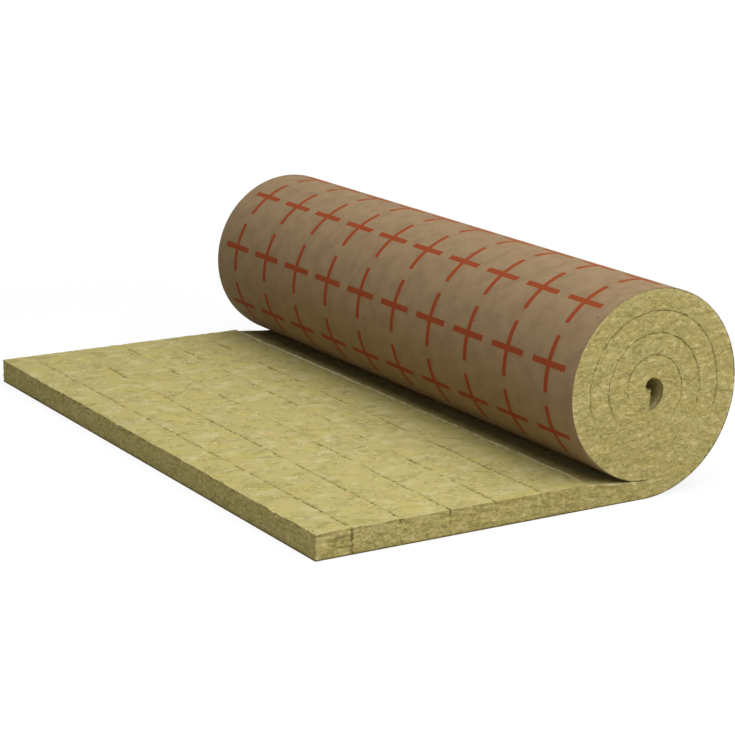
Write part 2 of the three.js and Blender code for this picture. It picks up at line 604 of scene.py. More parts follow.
@dataclass(frozen=True)
class StoneWool:
    """Stone wool: fibres spun from melted rock and felted with a resin that turns them khaki.

    Its sawn faces give the eye a dull, matt surface of pale curls over olive hollows. The curls lie
    along the mat, and there are broad, faint patches with more or less resin. No fibre is shiny
    enough to glint. One fibre is far too fine to see, so the smallest curl drawn is a tuft of them.
    The hollows are darkened partly by the wool's own olive and partly by painted shade. The cracks,
    partings and undercuts get a darker painted shade, and the ridge and the edges are paled partly
    by a painted highlight.
    """

    body: str = "#b9ae71"
    yellow: Blotches = Blotches("#beb16b", 0.48, 0.70, 36 * MM)
    pale: Blotches = Blotches("#c3b983", 0.50, 0.68, 30 * MM, 3.0)
    olive: Blotches = Blotches("#a89e62", 0.55, 0.75, 21 * MM, 6.0)
    warm: Blotches = Blotches("#c1a973", 0.60, 0.76, 15 * MM, 9.0)
    # Partly the wool's own olive, partly painted shade in the pits.
    hollow_and_shade: Shade = Shade("#9b9058", 0.51, 0.26)
    curl: Shade = Shade("#d3c78d", 0.54, 0.92)
    # Painted shade, reached only in cracks, partings and undercuts.
    painted_crease_shade: Shade = Shade("#6e6338", 0.20, 0.0)
    tip_and_highlight: Shade = Shade("#e6ddb6", 1.0, 1.3)

    grain: tuple[float, float, float] = (0.85, 1.0, 1.6)
    drift_size: float = 14 * MM
    drift_reach: float = 7 * MM
    curl_size: float = 7.5 * MM
    curl_share: float = 0.65
    curl_roughness: float = 0.6
    tuft_size: float = 3.6 * MM
    tuft_pattern: float = 5.0
    crowd_size: float = 22 * MM
    crowd_pattern: float = 9.0
    crowding: tuple[float, float, float, float] = (0.42, 0.60, 0.35, 1.4)
    crease_width: float = 0.045
    crease_depth: float = 0.25
    crease_breaks: Span = (0.44, 0.58)
    mean_height: float = 0.47
    bump_depth: float = 2.0 * MM
    fineness: float = 0.5
    relief_share: float = 0.15

    sawn_slope: Span = (0.75, 0.45)
    sawn_relief_share: float = 0.21
    sawn_tint: tuple[float, float, float] = (1.02, 0.98, 0.91)
    sawn_contrast: float = 1.4
    sawn_evenness: float = 0.5
    roughness: float = 1.0
    gloss: float = 0.2

    LIE = "lie"
    RELIEF = "relief"

    def height(self, add: Any, place: Any, sawn: Any) -> bpy.types.Node:
        """Draws the curls.

        Args:
            add: What adds a node to the material.
            place: Where the pattern is read.
            sawn: How far a place belongs to a sawn side, from 0 to 1.

        Returns:
            The node that gives how far the fibres stand up, with 0 for the mean.
        """
        drift = add(NOISE, place, Scale=1 / self.drift_size, Detail=1.0).outputs["Color"]
        centred = add(VECTOR_MATHS, drift, (0.5,) * 3, operation="SUBTRACT")
        reach = (self.drift_reach,) * 3
        felted = add(VECTOR_MATHS, centred, reach, place, operation="MULTIPLY_ADD")
        curls = add(
            NOISE, felted, Scale=1 / self.curl_size, Detail=2.0, Roughness=self.curl_roughness
        )
        fine, crowds = (
            add(NOISE, where, W=pattern, Scale=1 / size, Detail=1.0, noise_dimensions="4D")
            for where, pattern, size in (
                (felted, self.tuft_pattern, self.tuft_size),
                (place, self.crowd_pattern, self.crowd_size),
            )
        )
        height = add(MATHS, curls, self.curl_share, operation="MULTIPLY")
        height = add(MATHS, fine, 1 - self.curl_share, height, operation="MULTIPLY_ADD")
        apart = add(MATHS, add(MATHS, curls, 0.5, operation="SUBTRACT"), operation="ABSOLUTE")
        # The thin curly strokes darken the colour as painted shade, and they also dent the bump.
        painted_crease_shade = add(RANGE, apart, self.crease_width, 0.0, interpolation_type="SMOOTHSTEP")
        creased = add(MATHS, painted_crease_shade, add(RANGE, fine, *self.crease_breaks), operation="MULTIPLY")
        height = add(MATHS, creased, -self.crease_depth, height, operation="MULTIPLY_ADD")
        crowd = add(RANGE, crowds, *self.crowding, interpolation_type="SMOOTHSTEP")
        crowd = add(MIX, sawn, crowd, self.sawn_contrast)
        level = add(MATHS, height, self.mean_height, operation="SUBTRACT")
        return add(MATHS, level, crowd, operation="MULTIPLY")

    def material(self) -> bpy.types.Material:
        """Builds the finish.

        Returns:
            The material.
        """
        material, add = new_finish("stone_wool_sawn")
        lie = add(READ, attribute_name=self.LIE).outputs["Vector"]
        place = add(VECTOR_MATHS, lie, self.grain, operation="MULTIPLY")
        upright = add(SPLIT, add("ShaderNodeNewGeometry").outputs["True Normal"]).outputs["Z"]
        sawn = add(RANGE, upright, *self.sawn_slope)

        hue = srgb(self.body)
        for blotches in (self.yellow, self.pale, self.olive, self.warm):
            hue = blotches.strewn(add, place, hue)
        even = add(MATHS, sawn, self.sawn_evenness, operation="MULTIPLY")
        colour = add(MIX, even, hue, srgb(self.body), data_type="RGBA")

        height = self.height(add, place, sawn)
        faint = add(MATHS, height, 2 * self.fineness, 0.5, operation="MULTIPLY_ADD")
        # The relief sets the colour too: pits, cracks, partings and undercuts get painted shade,
        # and the ridge and the edges a partly painted highlight.
        relief = add(READ, attribute_name=self.RELIEF).outputs["Fac"]
        carved = add(MIX, sawn, self.relief_share, self.sawn_relief_share)
        level = add(MATHS, relief, carved, faint, operation="MULTIPLY_ADD")
        # The hollow colour is partly the wool's own olive and partly painted shade in the pits; the
        # crease colour is painted shade in cracks, partings and undercuts.
        for shade in (self.hollow_and_shade, self.curl, self.painted_crease_shade):
            colour = shade.over(add, level, colour)
        warmer = add(VECTOR_MATHS, colour, self.sawn_tint, operation="MULTIPLY")
        colour = add(MIX, sawn, colour, warmer, data_type="RGBA")
        # The pale tip colour on the ridge and the frayed edges is partly painted highlight.
        colour = self.tip_and_highlight.over(add, level, colour)
        bump = add(BUMP, Height=height, Strength=1.0, Distance=self.bump_depth)
        return feed_shader(material, colour, self.roughness, self.gloss, bump)


@dataclass(frozen=True)
class KraftPaper:
    """Kraft paper: unbleached sulphate pulp, calendered, with cutting guides printed in flat ink.

    It gives the eye a smooth, dull brown with a faint cloudiness, fine streaks along the web and a
    few darker or paler specks of pulp. Its cut edge is darker, partly its own tone and partly
    painted shade for the dark line along its foot. The ink sinks in and dulls.
    """

    face: str = "#998161"
    # Partly the cut edge's own tone, partly painted shade.
    edge: str = "#7d6c50"
    ink: str = "#934424"
    clouds: Blotches = Blotches("#8d7659", 0.36, 0.68, 26 * MM, 0.0, 4.0)
    streaks: Blotches = Blotches("#8d7659", 0.55, 0.95, 2.4 * MM, 4.0)
    specks: Blotches = Blotches("#6b5740", 0.73, 0.81, 4.8 * MM, 8.0, 0.5)
    shives: Blotches = Blotches("#b7a383", 0.74, 0.84, 3.4 * MM, 12.0, 0.5)
    streak_stretch: tuple[float, float, float] = (1.0, 0.05, 1.0)
    roughness: float = 0.85
    gloss: float = 0.12

    cross_across: float = 97.5 * MM
    cross_along: float = 100.2 * MM
    bar_across: float = 74 * MM
    bar_along: float = 81 * MM
    stroke: float = 8.8 * MM
    corner: float = 2 * MM
    first_across: float = 60.4 * MM
    first_along: float = 57.4 * MM
    print_middle: float = 0.5
    print_reach: float = 0.487
    bleed: float = 1.6 * MM
    bleed_size: float = 4 * MM
    ink_edge: Span = (1.2 * MM, 0.4 * MM)

    def material(self) -> bpy.types.Material:
        """Builds the finish.

        Returns:
            The material.
        """
        material, add = new_finish("kraft_paper_printed")
        sheet = add("ShaderNodeUVMap", uv_map=Facing.UV).outputs["UV"]
        web = add(VECTOR_MATHS, sheet, self.streak_stretch, operation="MULTIPLY")
        colour = self.clouds.strewn(add, sheet, srgb(self.face))
        colour = self.streaks.strewn(add, web, colour)
        for flecks in (self.specks, self.shives):
            colour = flecks.strewn(add, sheet, colour)
        colour = add(MIX, self.print_share(add, sheet), colour, srgb(self.ink), data_type="RGBA")
        side = add(READ, attribute_name=Facing.SIDE).outputs["Fac"]
        # The cut edges are darker, partly as painted shade.
        colour = add(MIX, side, srgb(self.edge), colour, data_type="RGBA")
        return feed_shader(material, colour, self.roughness, self.gloss)

    def print_share(self, add: Any, sheet: Any) -> bpy.types.Node:
        """Draws the crosses.

        Args:
            add: What adds a node to the material.
            sheet: The place on the sheet, across it and along it.

        Returns:
            The node that gives where the ink is, from 0 to 1.
        """
        spot = add(SPLIT, sheet).outputs
        rows = (
            (spot["X"], self.cross_across, self.first_across),
            (spot["Y"], self.cross_along, self.first_along),
        )
        from_cross = []
        for place, pitch, first in rows:
            shifted = add(MATHS, place, pitch / 2 - first, operation="ADD")
            in_cell = add(MATHS, shifted, pitch, operation="FLOORED_MODULO")
            centred = add(MATHS, in_cell, pitch / 2, operation="SUBTRACT")
            from_cross.append(add(MATHS, centred, operation="ABSOLUTE"))
        bars = []
        lengths = self.bar_across, self.bar_along
        for lengthwise, sideways, length in zip(from_cross, from_cross[::-1], lengths):
            past_end = add(MATHS, lengthwise, length / 2, operation="SUBTRACT")
            past_side = add(MATHS, sideways, self.stroke / 2, operation="SUBTRACT")
            bars.append(add(MATHS, past_end, past_side, self.corner, operation="SMOOTH_MAX"))
        outside = add(MATHS, *bars, operation="MINIMUM")
        rag = add(NOISE, sheet, Scale=1 / self.bleed_size, Detail=2.0)
        ragged = add(MATHS, rag, self.bleed, outside, operation="MULTIPLY_ADD")
        inked = add(RANGE, ragged, *self.ink_edge, interpolation_type="SMOOTHSTEP")
        printed = add(MATHS, spot["X"], self.print_middle, self.print_reach, operation="COMPARE")
        return add(MATHS, inked, printed, operation="MULTIPLY")


# ---- Node trees for meshes ---------------------------------------------------------------------

STORE = "GeometryNodeStoreNamedAttribute"
REALIZE = "GeometryNodeRealizeInstances"
SET_MATERIAL = "GeometryNodeSetMaterial"


def new_tree(name: str, **sockets: str) -> tuple[bpy.types.GeometryNodeTree, Any, Any]:
    """Starts a node tree that makes a mesh.

    Args:
        name: The tree's name.
        sockets: For each kind of input, the inputs' names with commas between them.

    Returns:
        The tree, its inputs by name, and what adds a node to it.
    """
    tree = bpy.data.node_groups.new(name, "GeometryNodeTree")
    tree.interface.new_socket("Geometry", in_out="OUTPUT", socket_type="NodeSocketGeometry")
    for kind, names in sockets.items():
        for socket in names.split(", "):
            tree.interface.new_socket(socket, in_out="INPUT", socket_type=f"NodeSocket{kind}")
    add = partial(add_node, tree)
    return tree, add("NodeGroupInput").outputs, add


def made_by_nodes(
    name: str, tree: bpy.types.GeometryNodeTree, values: dict[str, Any]
) -> bpy.types.Mesh:
    """Runs a node tree once and keeps what it makes as a plain mesh.

    Args:
        name: The mesh's name.
        tree: The tree to run.
        values: Values for its named inputs.

    Returns:
        The new mesh.
    """
    host = in_scene(name + "_host", bpy.data.meshes.new(name + "_host"))
    modifier = host.modifiers.new("nodes", "NODES")
    modifier.node_group = tree
    for item in tree.interface.items_tree:
        if item.item_type == "SOCKET" and item.in_out == "INPUT" and item.name in values:
            modifier[item.identifier] = values[item.name]
    host.update_tag()
    bpy.context.view_layer.update()
    evaluated = host.evaluated_get(bpy.context.evaluated_depsgraph_get())
    mesh = bpy.data.meshes.new_from_object(evaluated)
    mesh.name = name
    bpy.data.objects.remove(host)
    return mesh


# ---- The facing --------------------------------------------------------------------------------


@dataclass
class Facing:
    """The kraft-paper sheet: under the laid-out strips, then round the outside of the roll."""

    section: MatSection
    cell_along: float = 7 * MM
    cell_across: float = 20 * MM
    inner_cells_across: int = 4
    tuck: float = 12 * MM
    setback: float = 2.5 * MM
    waviness: float = 0.35 * MM
    ripple_size: float = 90 * MM
    ripple_start: float = 60 * MM
    sharp: float = math.radians(40)

    UV = "sheet_place"
    SIDE = "sheet_side"

    def even_turns(self, add: Any, given: Any, past: Any) -> tuple[bpy.types.Node, bpy.types.Node]:
        """Winds a length up evenly.

        Args:
            add: What adds a node to the tree.
            given: The tree's inputs.
            past: Length past the roll's foot.

        Returns:
            What gives the even spiral's radius there, and how many turns it has made.
        """
        square = add(MATHS, given["Radius"], given["Radius"], operation="MULTIPLY")
        lost = add(MATHS, past, given["Pitch"], operation="MULTIPLY")
        lost = add(MATHS, lost, 2 / TURN, operation="MULTIPLY")
        even = add(MATHS, add(MATHS, square, lost, operation="SUBTRACT"), operation="SQRT")
        shrunk = add(MATHS, given["Radius"], even, operation="SUBTRACT")
        return even, add(MATHS, shrunk, given["Pitch"], operation="DIVIDE")

    def sag(self, add: Any, given: Any, turns: Any) -> bpy.types.Node:
        """Lowers a turn towards the foot of the roll.

        Args:
            add: What adds a node to the tree.
            given: The tree's inputs.
            turns: How many turns the sheet has made.

        Returns:
            What gives how far the turn sags.
        """
        turn = add(MATHS, turns, operation="ROUND")
        off = add(MATHS, add(MATHS, turns, turn, operation="SUBTRACT"), TURN, operation="MULTIPLY")
        off = add(MATHS, off, given["Sag Reach"], operation="DIVIDE")
        square = add(MATHS, off, off, operation="MULTIPLY")
        share = add(MATHS, square, -1.0, 1.0, operation="MULTIPLY_ADD")
        share = add(MATHS, add(MATHS, share, 0.0, operation="MAXIMUM"), 2.0, operation="POWER")
        inner = add(MATHS, turn, 1.0, operation="SUBTRACT")
        halved = add(MATHS, 1 / self.section.sag_halved_by, inner, operation="POWER")
        share = add(MATHS, share, halved, operation="MULTIPLY")
        sag = add(MATHS, share, given["Sag"], operation="MULTIPLY")
        on_top = add(MATHS, turn, 0.5, operation="GREATER_THAN")
        return add(MATHS, sag, on_top, operation="MULTIPLY")

    def winding_tree(self) -> bpy.types.GeometryNodeTree:
        """Makes the node tree that lays a flat slab of paper along the mat's section.

        Returns:
            The tree, with the sizes as its named inputs.
        """
        tree, given, add = new_tree(
            "wind_sheet",
            Float="Length, Start, Width, Thickness, Free End, Flat Length, Radius, Pitch, Sag, "
            "Sag Reach, Waviness",
            Int="Cells Along, Cells Across",
            Material="Material",
        )
        size = add(JOIN, given["Length"], given["Width"], given["Thickness"])
        slab = add("GeometryNodeMeshCube", size, given["Cells Along"], given["Cells Across"], 2)
        place = add(SPLIT, add("GeometryNodeInputPosition")).outputs
        from_edge = (
            add(MATHS, given[whole], 0.5, place[axis], operation="MULTIPLY_ADD")
            for whole, axis in (("Length", "X"), ("Width", "Y"), ("Thickness", "Z"))
        )
        length, across, rise = from_edge
        length = add(MATHS, length, given["Start"], operation="ADD")
        spot = add(JOIN, across, length)
        facing = add(SPLIT, add("GeometryNodeInputNormal")).outputs["Z"]
        outer = add(MATHS, facing, -0.5, operation="LESS_THAN")
        kind = {"data_type": "FLOAT2", "domain": "CORNER"}
        mapped = add(STORE, slab.outputs["Mesh"], Name=self.UV, Value=spot, **kind)
        kind = {"data_type": "FLOAT", "domain": "FACE"}
        sided = add(STORE, mapped, Name=self.SIDE, Value=outer, **kind)

        past = add(MATHS, length, given["Flat Length"], operation="SUBTRACT")
        past = add(MATHS, past, 0.0, operation="MAXIMUM")
        even, turns = self.even_turns(add, given, past)
        ripple = add(NOISE, spot, Scale=1 / self.ripple_size, Detail=1.0)
        ripple = add(MATHS, ripple, given["Waviness"], operation="MULTIPLY")
        lift = add(MATHS, ripple, add(RANGE, past, 0.0, self.ripple_start), operation="MULTIPLY")
        depth = add(MATHS, rise, lift, operation="ADD")
        depth = add(MATHS, depth, self.sag(add, given, turns), operation="SUBTRACT")
        radius = add(MATHS, even, depth, operation="SUBTRACT")

        angle = add(MATHS, turns, TURN, operation="MULTIPLY")
        sideways = add(MATHS, radius, add(MATHS, angle, operation="SINE"), operation="MULTIPLY")
        foot = add(MATHS, length, given["Flat Length"], operation="MINIMUM")
        x = add(MATHS, sideways, foot, operation="ADD")
        x = add(MATHS, x, given["Free End"], operation="ADD")
        drop = add(MATHS, radius, add(MATHS, angle, operation="COSINE"), operation="MULTIPLY")
        wound_z = add(MATHS, given["Radius"], drop, operation="SUBTRACT")
        wound = add(MATHS, past, 0.0, operation="GREATER_THAN")
        z = add("GeometryNodeSwitch", wound, rise, wound_z, input_type="FLOAT")
        laid = add("GeometryNodeSetPosition", sided, Position=add(JOIN, x, place["Y"], z))
        dressed = add(SET_MATERIAL, add(REALIZE, laid), Material=given["Material"])
        add("NodeGroupOutput", dressed)
        return tree

    def sheet(
        self,
        name: str,
        tree: bpy.types.GeometryNodeTree,
        paper: bpy.types.Material,
        reach: Span,
        width: float,
        cells_across: int,
    ) -> bpy.types.Object:
        """Makes one stretch of the sheet.

        Args:
            name: The piece's name.
            tree: The winding tree.
            paper: The paper's finish.
            reach: Lengths along the sheet at which the stretch starts and ends.
            width: The stretch's width.
            cells_across: How many cells it has across the web.

        Returns:
            The finished object.
        """
        section = self.section
        start, end = reach
        values = {
            "Length": end - start,
            "Start": start,
            "Width": width,
            "Thickness": section.facing,
            "Free End": section.free_end,
            "Flat Length": section.flat_length,
            "Radius": section.radius,
            "Pitch": section.pitch,
            "Sag": section.pitch - section.pressed,
            "Sag Reach": section.sag_reach,
            "Waviness": self.waviness,
            "Cells Along": round((end - start) / self.cell_along) + 1,
            "Cells Across": cells_across + 1,
            "Material": paper,
        }
        mesh = made_by_nodes(name, tree, values)
        smooth(mesh, self.sharp)
        return in_scene(name, mesh)

    def build(self, paper: bpy.types.Material) -> list[bpy.types.Object]:
        """Makes the sheet in two stretches: the one that shows and the one inside the roll.

        Args:
            paper: The paper's finish.

        Returns:
            The two pieces.
        """
        section = self.section
        tree = self.winding_tree()
        tucked = section.length_at(section.nip_angle()) + self.tuck
        inner_end = section.length_at(section.turns * TURN)
        width = 2 * section.half_width
        cells = round(width / self.cell_across)
        outside = self.sheet("kraft_facing_sheet", tree, paper, (0.0, tucked), width, cells)
        width = width - 2 * self.setback
        inside = self.sheet(
            "kraft_inner_turns", tree, paper, (tucked, inner_end), width, self.inner_cells_across
        )
        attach(outside, BODY)
        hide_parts("kraft_facing")
        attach(inside, BODY)
        return [outside, inside]


# ---- The wool ----------------------------------------------------------------------------------


class End(Enum):
    """The mat's two sawn ends."""

    NEAR = -1
    FAR = 1

    @property
    def row(self) -> int:
        """Which of the points across the mat lie on this end: the first ones or the last ones."""
        return 0 if self is End.NEAR else -1


class Field(IntEnum):
    """The random field that a relief starts from. An end or a joint adds a number of its own."""

    TOP = 11
    ENDS = 40
    LAYERS = 60
    FREE_END = 61
    JOINTS = 100
    RIM = 300
    RAGGED = 501
    DASHES = 503
    GAPING = 504
    STRAYS = 505
    RIDGE = 701
    FRINGE_AND_HIGHLIGHT = 800
    WORN_ENDS = 810
    WORN_FREE_END = 820
    FRAYED_AND_HIGHLIGHT = 830


@dataclass(frozen=True)
class EdgeBand:
    """What handling does to an edge, more in some stretches than in others: wear, or a pale band of
    fibre that is partly painted highlight.

    It has its least all along and gains the rest where its waves pass from the low end of their
    span to the high one.
    """

    gain: float
    reach: float
    waves: Waves
    span: Span
    least: float = 0.0

    def at(self, along: Array, away: Array, seed: Array | int) -> Array:
        """How strong it is at places along the edge and away from it. It fades within the reach."""
        patches = ease(wavy(along, self.waves, seed), *self.span)
        return (self.least + self.gain * patches) * bell(away, self.reach)


@dataclass(frozen=True)
class Saw:
    """The relief that the saw and handling leave on the wool.

    The worn edge is a distance downwards. Frayed fibre and the fringe add to the relief alone, as a
    pale colour that is partly painted highlight.
    """

    top_depth: float = 0.7 * MM
    top_grain: float = 0.9
    top_layers: Waves = ((0.25, 45 * MM), (0.6, 24 * MM), (0.35, 9 * MM))
    end_depth: float = 1.6 * MM
    end_grain: Span = (0.6, 1.2)
    end_layers: Waves = ((0.25, 30 * MM), (0.85, 15 * MM), (0.45, 8 * MM))
    # Every sawn face is lifted a little lighter, and the strips' sides and the free end are
    # darkened again, so the roll's ends come out lighter than the sides.
    end_brightening: float = 0.15
    side_calm: float = 0.75
    side_darkening: float = 0.3
    setback: float = 0.6 * MM
    foot: float = 1.2 * MM
    foot_tuck: float = 4 * MM

    lip: float = 1.3 * MM
    lip_reach: float = 1.5 * MM
    lip_least: float = 0.35
    lip_waves: Waves = ((0.45, 7 * MM), (0.5, 2.6 * MM))
    undercut: float = 1.6 * MM
    # Painted shade in the hollow under the lip.
    undercut_shade: float = 0.9
    torn_waves: Waves = ((1.0, 19 * MM),)
    torn_span: Span = (-0.1, 0.5)
    torn_least: float = 0.7
    torn_rag: Waves = ((0.3, 4 * MM),)
    hollow_below: float = 3.4 * MM
    hollow_reach: float = 1.7 * MM

    layer_size: float = 5.5 * MM
    layer_stretch: float = 0.14
    layer_waves: Waves = ((1.5 * MM, 24 * MM),)

    worn: EdgeBand = EdgeBand(
        gain=1.5 * MM, reach=2.6 * MM, waves=((0.6, 8 * MM), (0.8, 3.5 * MM)), span=(-0.3, 0.9)
    )
    # A pale band along the edges where the wool runs in under the roll: partly frayed fibre, partly
    # painted highlight on the rim.
    frayed_and_highlight: EdgeBand = EdgeBand(
        gain=3.6, reach=1.7 * MM, waves=((1.0, 14 * MM), (0.4, 4 * MM)), span=(-0.7, 0.3)
    )
    # A pale fringe along the sawn edges: partly fluff, partly painted highlight.
    fringe_and_highlight: EdgeBand = EdgeBand(
        gain=1.3, reach=1.8 * MM, waves=((1.0, 32 * MM),), span=(-0.1, 0.5), least=0.5
    )

    def top(self, along: Array, across: Array) -> tuple[Array, Array]:
        """Relief of the mat's top.

        Args:
            along: Places along the mat.
            across: Places across it.

        Returns:
            How far each stands up, and the same as a share from -1 to 1.
        """
        spots = np.stack(np.broadcast_arrays(along * self.top_grain, across), axis=-1)
        share = felt(spots, self.top_layers, Field.TOP)
        return share * self.top_depth, share

    def end(self, along: Array, up: Array, seed: int) -> tuple[Array, Array]:
        """Relief of a sawn side.

        Args:
            along: Places along the side.
            up: Heights above the facing.
            seed: Which side it is.

        Returns:
            How far each stands out, and the same as a share from -1 to 1.
        """
        grain_along, grain_up = self.end_grain
        spots = np.stack(np.broadcast_arrays(along * grain_along, up * grain_up), axis=-1)
        share = felt(spots, self.end_layers, seed)
        return share * self.end_depth, share + self.end_brightening

    def rim(self, along: Array, below: Array, seed: int) -> Array:
        """How a side stands out under the top edge: a torn lip, then a hollow below it. The side
        paints shade into the hollow.

        Args:
            along: Places along the edge.
            below: Distances below the edge.
            seed: Which edge it is.

        Returns:
            Distances outwards.
        """
        lip = self.lip_least + wavy(along, self.lip_waves, seed)
        torn = ease(wavy(along, self.torn_waves, seed + 2), *self.torn_span)
        torn = torn * (self.torn_least + wavy(along, self.torn_rag, seed + 3))
        hollow_and_shade = bell(below - self.hollow_below, self.hollow_reach)
        return self.lip_reach * lip * bell(below, self.lip) - self.undercut * torn * hollow_and_shade

    def layers(self, along: Array, up: Array, seed: int) -> Array:
        """Relief of the layers in which the fibre was laid down, as a cut lays them open."""
        level = up + wavy(along, self.layer_waves, seed + 1)
        return swell(np.stack([self.layer_stretch * along, level], axis=-1), self.layer_size, seed)

    def fluff_and_highlight(self, along: Array, away: Array, seed: Array | int) -> Array:
        """Relief of the pale fringe along a sawn edge, for the side that the seed names. The fringe
        is partly fluff and partly painted highlight.
        """
        return self.fringe_and_highlight.at(*np.broadcast_arrays(along, away), seed + Field.FRINGE_AND_HIGHLIGHT)

    def side(self, along: Array, up: Array, below: Array, seed: int) -> tuple[Array, Array]:
        """Relief of a sawn side from the facing up to its rim.

        Args:
            along: Places along the side.
            up: Heights above the facing.
            below: Distances below the top edge.
            seed: Which side it is.

        Returns:
            How far each stands out past the facing's edge, and its relief.
        """
        out, relief = self.end(along, up, seed)
        rim = self.rim(*np.broadcast_arrays(along, below), seed + Field.RIM)
        # Painted shade in the hollow under the torn lip.
        shaded = self.undercut_shade * np.minimum(rim, 0) / self.undercut
        # A fixed offset darkens the sides a little against the roll's ends.
        relief = self.side_calm * relief - self.side_darkening + shaded + self.fluff_and_highlight(along, below, seed)
        out = (out + rim) * ease(up, 0, self.foot_tuck) - self.setback * (1 + bell(up, self.foot))
        return out, relief


@dataclass(frozen=True)
class Ridge:
    """The pale ridge that stands up along the last flat joint, where the mat was bent sharpest.
    Its paleness is partly torn fibre and partly a painted highlight along the crest.
    """

    section: MatSection
    height: float = 1.3 * MM
    width: float = 2.5 * MM
    rag: Waves = ((0.5, 9 * MM),)
    rag_mean: float = 0.75
    near_fade: Span = (4 * MM, 60 * MM)
    far_fade: Span = (10 * MM, 90 * MM)
    # These pale the crest, partly as torn fibre and partly as painted highlight.
    pale_and_highlight: float = 8.0
    pale_least: float = 0.75
    pale_gain: float = 1.6
    pale_span: Span = (50 * MM, 130 * MM)
    pale_waves: Waves = ((0.5, 26 * MM),)

    def rise(self, away: Array, y: Array) -> tuple[Array, Array]:
        """Height of the ridge, and how much paler it makes the wool, partly as painted highlight.

        Args:
            away: Distances from the joint.
            y: Places along the joint.

        Returns:
            Distances upwards, and the relief to add to the wool's.
        """
        half = self.section.half_width
        crest = bell(away, self.width) * (self.rag_mean + wavy(y, self.rag, Field.RIDGE))
        crest = crest * ease(half + y, *self.near_fade)
        # The crest is paled partly as torn fibre and partly as painted highlight, more towards the
        # far end.
        pale = self.pale_least + self.pale_gain * ease(y, *self.pale_span)
        pale = pale + wavy(y, self.pale_waves, Field.RIDGE + 1)
        held = ease(half - y, *self.far_fade)
        return self.height * held * crest, self.pale_and_highlight * crest * np.maximum(pale, 0)


@dataclass(frozen=True)
class Joint:
    """A joint between two strips: an open crack in long dashes, felted shut in between.

    The shifts say how far it lies off its true place at the near end and at the far end, and the
    gapes how much of it is open there, from 0 to 1. It has sprung open near the near end, and is
    shut at the far one.
    """

    section: MatSection
    x: float
    number: int
    shifts: Span
    gapes: Span
    end_gape: float
    wave: float = 1.4 * MM
    sway: Waves = ((1.0, 60 * MM), (0.5, 17 * MM), (0.25, 5 * MM))
    lean: Waves = ((0.5, 21 * MM),)
    width: float = 0.5 * MM
    sink: float = 1.4 * MM
    rounding: float = 2.3 * MM
    dashes: Waves = ((0.6, 30 * MM), (0.4, 90 * MM))
    dash_span: Span = (-0.1, 0.1)
    opening: float = 0.9
    sprung: float = 0.55
    sprung_span: Span = (8 * MM, 45 * MM)
    shut: float = 0.6
    shut_span: Span = (10 * MM, 60 * MM)
    beads: Waves = ((1.0, 7 * MM), (0.4, 15 * MM))
    bead_span: Span = (-0.45, 0.55)
    bead_least: float = 0.2
    trace: float = 0.12
    end_sink: float = 0.9 * MM
    end_waves: Waves = ((1.0, 11 * MM),)
    end_span: Span = (-0.2, 0.5)
    notch: float = 0.45
    notch_reach: Span = (9 * MM, 2 * MM)

    # Where the joint's lean, its top and its ends start among its own random fields.
    LEAN = 3
    TOP = 10
    ENDS = 30

    def between(self, y: Array, values: Span) -> Array:
        """Runs evenly from a value at the near end to one at the far end."""
        share = (y / self.section.half_width + 1) / 2
        return values[0] + (values[1] - values[0]) * share

    def line(self, y: Array, z: Array) -> Array:
        """X of the joint.

        Args:
            y: Places along it.
            z: Heights.

        Returns:
            One X for each place.
        """
        seed = Field.JOINTS * self.number
        swing = wavy(y, self.sway, seed) + wavy(z, self.lean, seed + self.LEAN)
        return self.x + self.between(y, self.shifts) + self.wave * swing

    def open_top(self, y: Array) -> Array:
        """How far the joint gapes on the mat's top.

        Args:
            y: Places along it.

        Returns:
            From 0 for shut to 1, for each place.
        """
        seed = Field.JOINTS * self.number + self.TOP
        half = self.section.half_width
        level = self.between(y, self.gapes)
        beads = ease(wavy(y, self.beads, seed + 2), *self.bead_span)
        sprung = self.sprung * level * (1 - ease(half + y, *self.sprung_span))
        shut = self.shut * (1 - ease(half - y, *self.shut_span))
        dashes = wavy(y, self.dashes, seed) + self.opening * (level - 0.5) + sprung - shut
        gap = ease(dashes, *self.dash_span)
        return gap * (self.bead_least + (1 - self.bead_least) * beads) + self.trace * level

    def open_end(self, z: Array, end: End) -> Array:
        """How far the joint gapes on a sawn end.

        Args:
            z: Heights.
            end: Which end it is.

        Returns:
            From 0 for shut to 1, for each height.
        """
        seed = Field.JOINTS * self.number + self.ENDS + end.value
        from_top, to_top = (self.section.thickness - reach for reach in self.notch_reach)
        y = end.value * self.section.half_width + 0 * z
        notch = ease(z, from_top, to_top) * self.open_top(y)
        crack = self.end_gape * ease(wavy(z, self.end_waves, seed) + self.end_gape, *self.end_span)
        return np.maximum(crack, self.notch * notch)


